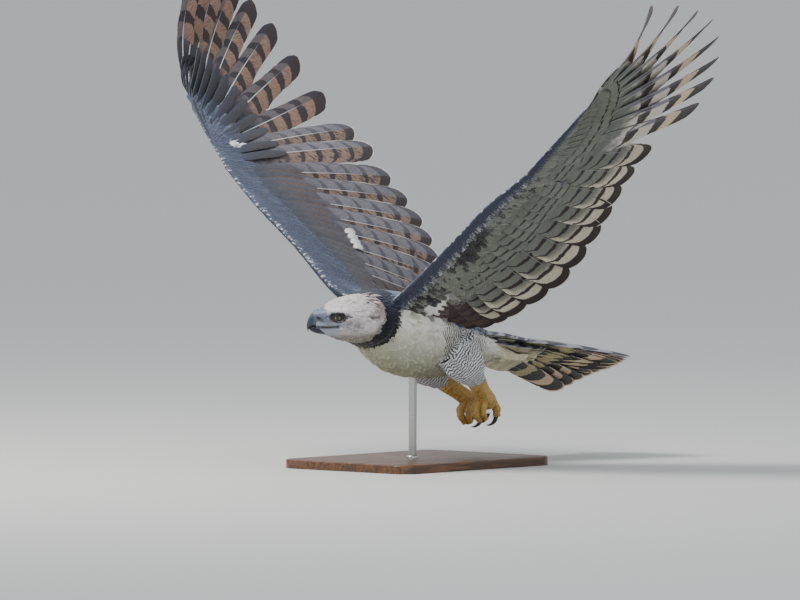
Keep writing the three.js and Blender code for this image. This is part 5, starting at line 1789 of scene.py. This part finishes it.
def scaled_loft(name, path, half, tall, sides, high_way, plates, front):
    """A loft whose front carries plates. front: the turn, in degrees, that the plates face."""
    stations = len(path)
    turn = 2 * np.pi * np.arange(sides) / sides
    facing = smoothstep(0.25, 0.7, np.cos(turn - math.radians(front)))
    t = np.linspace(0, 1, stations)[:, None] * plates
    saw = t - np.floor(t)
    lip = facing * (smoothstep(0, 0.85, saw) - smoothstep(0.9, 1.0, saw)) * 0.045
    rings = rings_along(path, np.ones(stations), np.ones(stations), sides, high_way)
    spread = rings - path[:, None]
    across = unit(np.cross(unit(np.gradient(path, axis=0)), high_way))
    wide = (spread * across[:, None]).sum(-1, keepdims=True) * across[:, None]
    high_part = spread - wide
    grow = (1 + lip)[:, :, None]
    spread = wide * np.reshape(half, (-1, 1, 1)) + high_part * np.reshape(tall, (-1, 1, 1))
    rings = path[:, None] + spread * grow
    points, faces = lofted(rings)
    mesh = bpy.data.meshes.new(name)
    mesh.from_pydata(points.tolist(), [], faces)
    bm = bmesh.new()
    bm.from_mesh(mesh)
    bmesh.ops.recalc_face_normals(bm, faces=bm.faces)
    bm.to_mesh(mesh)
    bm.free()
    mesh.shade_smooth()
    run = np.concatenate([[0], np.cumsum(np.linalg.norm(np.diff(path, axis=0), axis=1))])
    seam = facing * smoothstep(0.14, 0.0, np.minimum(saw, 1 - saw))
    round_at = np.broadcast_to(turn, (stations, sides))
    size = (np.asarray(half) + np.asarray(tall))[:, None] / 2
    grain = np.stack([
        np.cos(round_at) * size / SCALE_SIZE,
        np.sin(round_at) * size / SCALE_SIZE,
        np.broadcast_to(run[:, None], round_at.shape) / SCALE_SIZE,
    ], -1)
    grain = grain * (1 - 0.72 * facing[None, :, None])
    ends = [[0, 0, 0], [0, 0, run[-1] / SCALE_SIZE]]
    store(mesh, "seam", np.concatenate([seam.ravel(), [0, 0]]))
    store(mesh, "grain", np.concatenate([grain.reshape(-1, 3), ends]))
    return mesh


def fused(name, meshes):
    """Several closed lofts as one mesh."""
    bm = bmesh.new()
    for mesh in meshes:
        bm.from_mesh(mesh)
        bpy.data.meshes.remove(mesh)
    made = bpy.data.meshes.new(name)
    bm.to_mesh(made)
    bm.free()
    made.shade_smooth()
    return made


claw_look = horn_material("claw_horn", paint(14, 14, 16), paint(66, 64, 62), 0.3)
for label, leg in LEGS.items():
    mirror = np.array([leg["side"], 1, 1])
    knee, ankle, foot = (np.array(leg[k], float) * mirror for k in ("knee", "ankle", "foot"))
    shank_rows = smooth_rows([
        [*(knee + (ankle - knee) * 0.75), 14, 14],
        [*ankle, 20, 22],
        [*(ankle + (foot - ankle) * 0.5), 16, 19],
        [*foot, 21, 20],
    ], 90)
    path, half, tall = at(shank_rows[:, :3]), shank_rows[:, 3] * MM, shank_rows[:, 4] * MM
    shank = scaled_loft("shank", path, half, tall, 48, (0, 1, 0.2), 13, -90)
    name = "tarsus_" + label
    finish_piece(name, fused(name, [shank]), scale_look, [name])

    pads = []
    pad_rows = smooth_rows([
        [*(foot + [0, -step, -6 - step * 0.1]), *size]
        for step, size in zip((-16, -6, 8, 18), ((9, 8), (17, 14), (17, 14), (10, 8)))
    ], 30)
    pads.append(scaled_loft(
        "pad", at(pad_rows[:, :3]), pad_rows[:, 3] * MM, pad_rows[:, 4] * MM, 32, (0, 0, 1), 4, 90,
    ))
    for toe in TOES:
        turned = math.radians(toe["turn"]) * leg["side"]
        flat = np.array([math.sin(turned), -math.cos(turned), 0])
        aside = np.array([math.cos(turned), math.sin(turned), 0])
        spot, pitch = foot + flat * 3 + [0, 0, -4], math.radians(toe["start"])
        joints = [spot]
        for _ in range(toe["count"]):
            spot = spot + (flat * math.cos(pitch) + [0, 0, math.sin(pitch)]) * toe["step"]
            joints.append(spot)
            pitch -= math.radians(toe["curl"])
        claw = [spot - (joints[-1] - joints[-2]) * 0.3]
        for _ in range(CLAW_BITES):
            spot = spot + (flat * math.cos(pitch) + [0, 0, math.sin(pitch)]) * toe["claw"] / CLAW_BITES
            claw.append(spot)
            pitch -= math.radians(toe["hook"])
        stations = 16 * toe["count"]
        toe_path = smooth_rows(joints, stations)
        t = np.linspace(0, toe["count"], stations)
        knuckle = 1 + 0.07 * np.cos(2 * np.pi * t)
        radius = (toe["thick"] - 0.75 * t) * knuckle * MM
        radius[-1] *= 0.6
        plates = 3.5 * toe["count"]
        pads.append(scaled_loft("toe", at(toe_path), radius, radius * 0.97, 28, aside, plates, 180))
        claw_path = smooth_rows(claw, 40)
        t = np.linspace(0, 1, 40)
        radius = np.maximum(6.2 * (1 - t) ** 0.75, 0.35) * MM
        name = f"claw_{label}_{toe['name']}"
        mesh = new_mesh(name, *lofted(rings_along(at(claw_path), radius * 0.86, radius, 20, aside)))
        where = read_points(mesh)
        bloom = smoothstep(0.03, 0.0, np.linalg.norm(where - at(claw_path[0]), axis=1)) * 0.8
        mark_horn(mesh, bloom, where / 0.004)
        finish_piece(name, mesh, claw_look, [name])
    name = "toes_" + label
    finish_piece(name, fused(name, pads), scale_look, [name])


# Stand: a flat wooden base with rounded corners and a bevelled upper edge, and one steel rod screwed into it
# through a small collar.
BASE_WIDTH, BASE_LENGTH, BASE_THICK, BASE_CORNER, BASE_BEVEL = 380, 500, 20, 40, 4
ROD_RADIUS, ROD_TOP, ROD_AT = 9, 234, -15


def base_ring(inset, high):
    corner = BASE_CORNER - inset
    ring = []
    for x, y, start in ((1, 1, 0), (-1, 1, 90), (-1, -1, 180), (1, -1, 270)):
        turn = np.radians(start + np.linspace(0, 90, 13))
        middle = np.array([x * (BASE_WIDTH / 2 - BASE_CORNER), y * (BASE_LENGTH / 2 - BASE_CORNER)])
        ring += [[middle[0] + math.cos(a) * corner, middle[1] + math.sin(a) * corner, high] for a in turn]
    return ring


def stretched(*scale):
    """Places on the piece for a pattern that is drawn out along it."""
    spot = Worked(add("ShaderNodeTexCoord").outputs["Object"])
    return first("ShaderNodeMapping", {"Vector": spot, "Scale": scale})


rings = [base_ring(1, 0), base_ring(0, 1)]
for turn in np.radians(np.linspace(0, 90, 7)):
    high = BASE_THICK - BASE_BEVEL * (1 - math.sin(turn))
    rings.append(base_ring(BASE_BEVEL * (1 - math.cos(turn)), high))
mesh = new_mesh("stand_base", *lofted(np.array(rings) * MM))
wood_look, shader = new_material("stand_wood", 0.4, Coat_Weight=0.3, Coat_Roughness=0.25)
spot = stretched(26, 1.6, 26)
figure, pores = noise(spot, 1.0, 4.0), noise(spot, 9.0, 2.0)
colour = mixed(ranged(maths("FRACT", figure * 7.0), 0.1, 0.9), paint(74, 46, 28), paint(112, 72, 42))
colour = mixed(ranged(pores, 0.56, 0.7, 0.0, 0.6), colour, paint(46, 28, 17))
drive(shader, colour, (pores, 0.15, 0.0004), ranged(pores, 0.3, 0.7, 0.34, 0.5))
finish_piece("stand_base", mesh, wood_look, ["stand_base"], sharp=40)

steel_look, shader = new_material("stand_steel", 0.32, Metallic=1.0)
brushed = noise(stretched(120, 120, 4000), 1.0)
colour = mixed(brushed, (0.42, 0.42, 0.41), (0.62, 0.62, 0.61))
drive(shader, colour, roughness=ranged(brushed, 0.2, 0.8, 0.24, 0.4))
rod_rows = [[8, ROD_RADIUS], [9, ROD_RADIUS], [ROD_TOP - 2, ROD_RADIUS], [ROD_TOP, ROD_RADIUS - 2]]
collar_rows = [[19.5, 15], [21.5, 15], [24, 14.2], [25.5, 12.5], [26, 9.6]]
for name, rows in (("stand_rod", rod_rows), ("stand_flange", collar_rows)):
    heights, radii = np.array(rows).T
    path = np.stack([0 * heights, 0 * heights + ROD_AT, heights], 1) * MM
    mesh = new_mesh(name, *lofted(rings_along(path, radii * MM, radii * MM, 48, (0, 1, 0))))
    finish_piece(name, mesh, steel_look, ["stand_rod"], sharp=40)

# Floor and light: a very large pale floor under a bright even sky, with two large soft lamps.
REACH = 90
corners = [(-REACH, -REACH, 0), (REACH, -REACH, 0), (REACH, REACH, 0), (-REACH, REACH, 0)]
sheet = new_object("floor", new_mesh("floor", corners, [[0, 1, 2, 3]]))
sheet.data.materials.append(new_material("floor", 0.9, Base_Color=(0.62, 0.62, 0.61, 1))[0])
sheet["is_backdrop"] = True
world = bpy.data.worlds.new("sky")
world.use_nodes = True
Worked.tree = world.node_tree
high_up = parted(Worked(add("ShaderNodeTexCoord").outputs["Generated"]))[2]
rise = first("ShaderNodeMapRange", {"Value": high_up, "From Min": 0.0, "From Max": 1.0})
backdrop = world.node_tree.nodes["Background"]
glow = mixed(rise, (0.385, 0.39, 0.397), (0.74, 0.77, 0.81))
world.node_tree.links.new(glow.socket, backdrop.inputs["Color"])
backdrop.inputs["Strength"].default_value = 1.25
bpy.context.scene.world = world
for name, offset, power, size, tint in (
    ("key", (-1.1, -1.5, 3.0), 150, 1.4, (1, 0.97, 0.93)),
    ("fill", (4.3, -3.1, 1.4), 24, 3.6, (0.9, 0.95, 1)),
):
    lamp = bpy.data.lights.new(name, "AREA")
    lamp.energy, lamp.size, lamp.color = power, size, tint
    holder = bpy.data.objects.new(name, lamp)
    bpy.context.scene.collection.objects.link(holder)
    holder.location = Vector(SHOULDERS) + Vector(offset)
    holder.rotation_euler = (-Vector(offset)).to_track_quat("-Z", "Y").to_euler()

low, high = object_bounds()
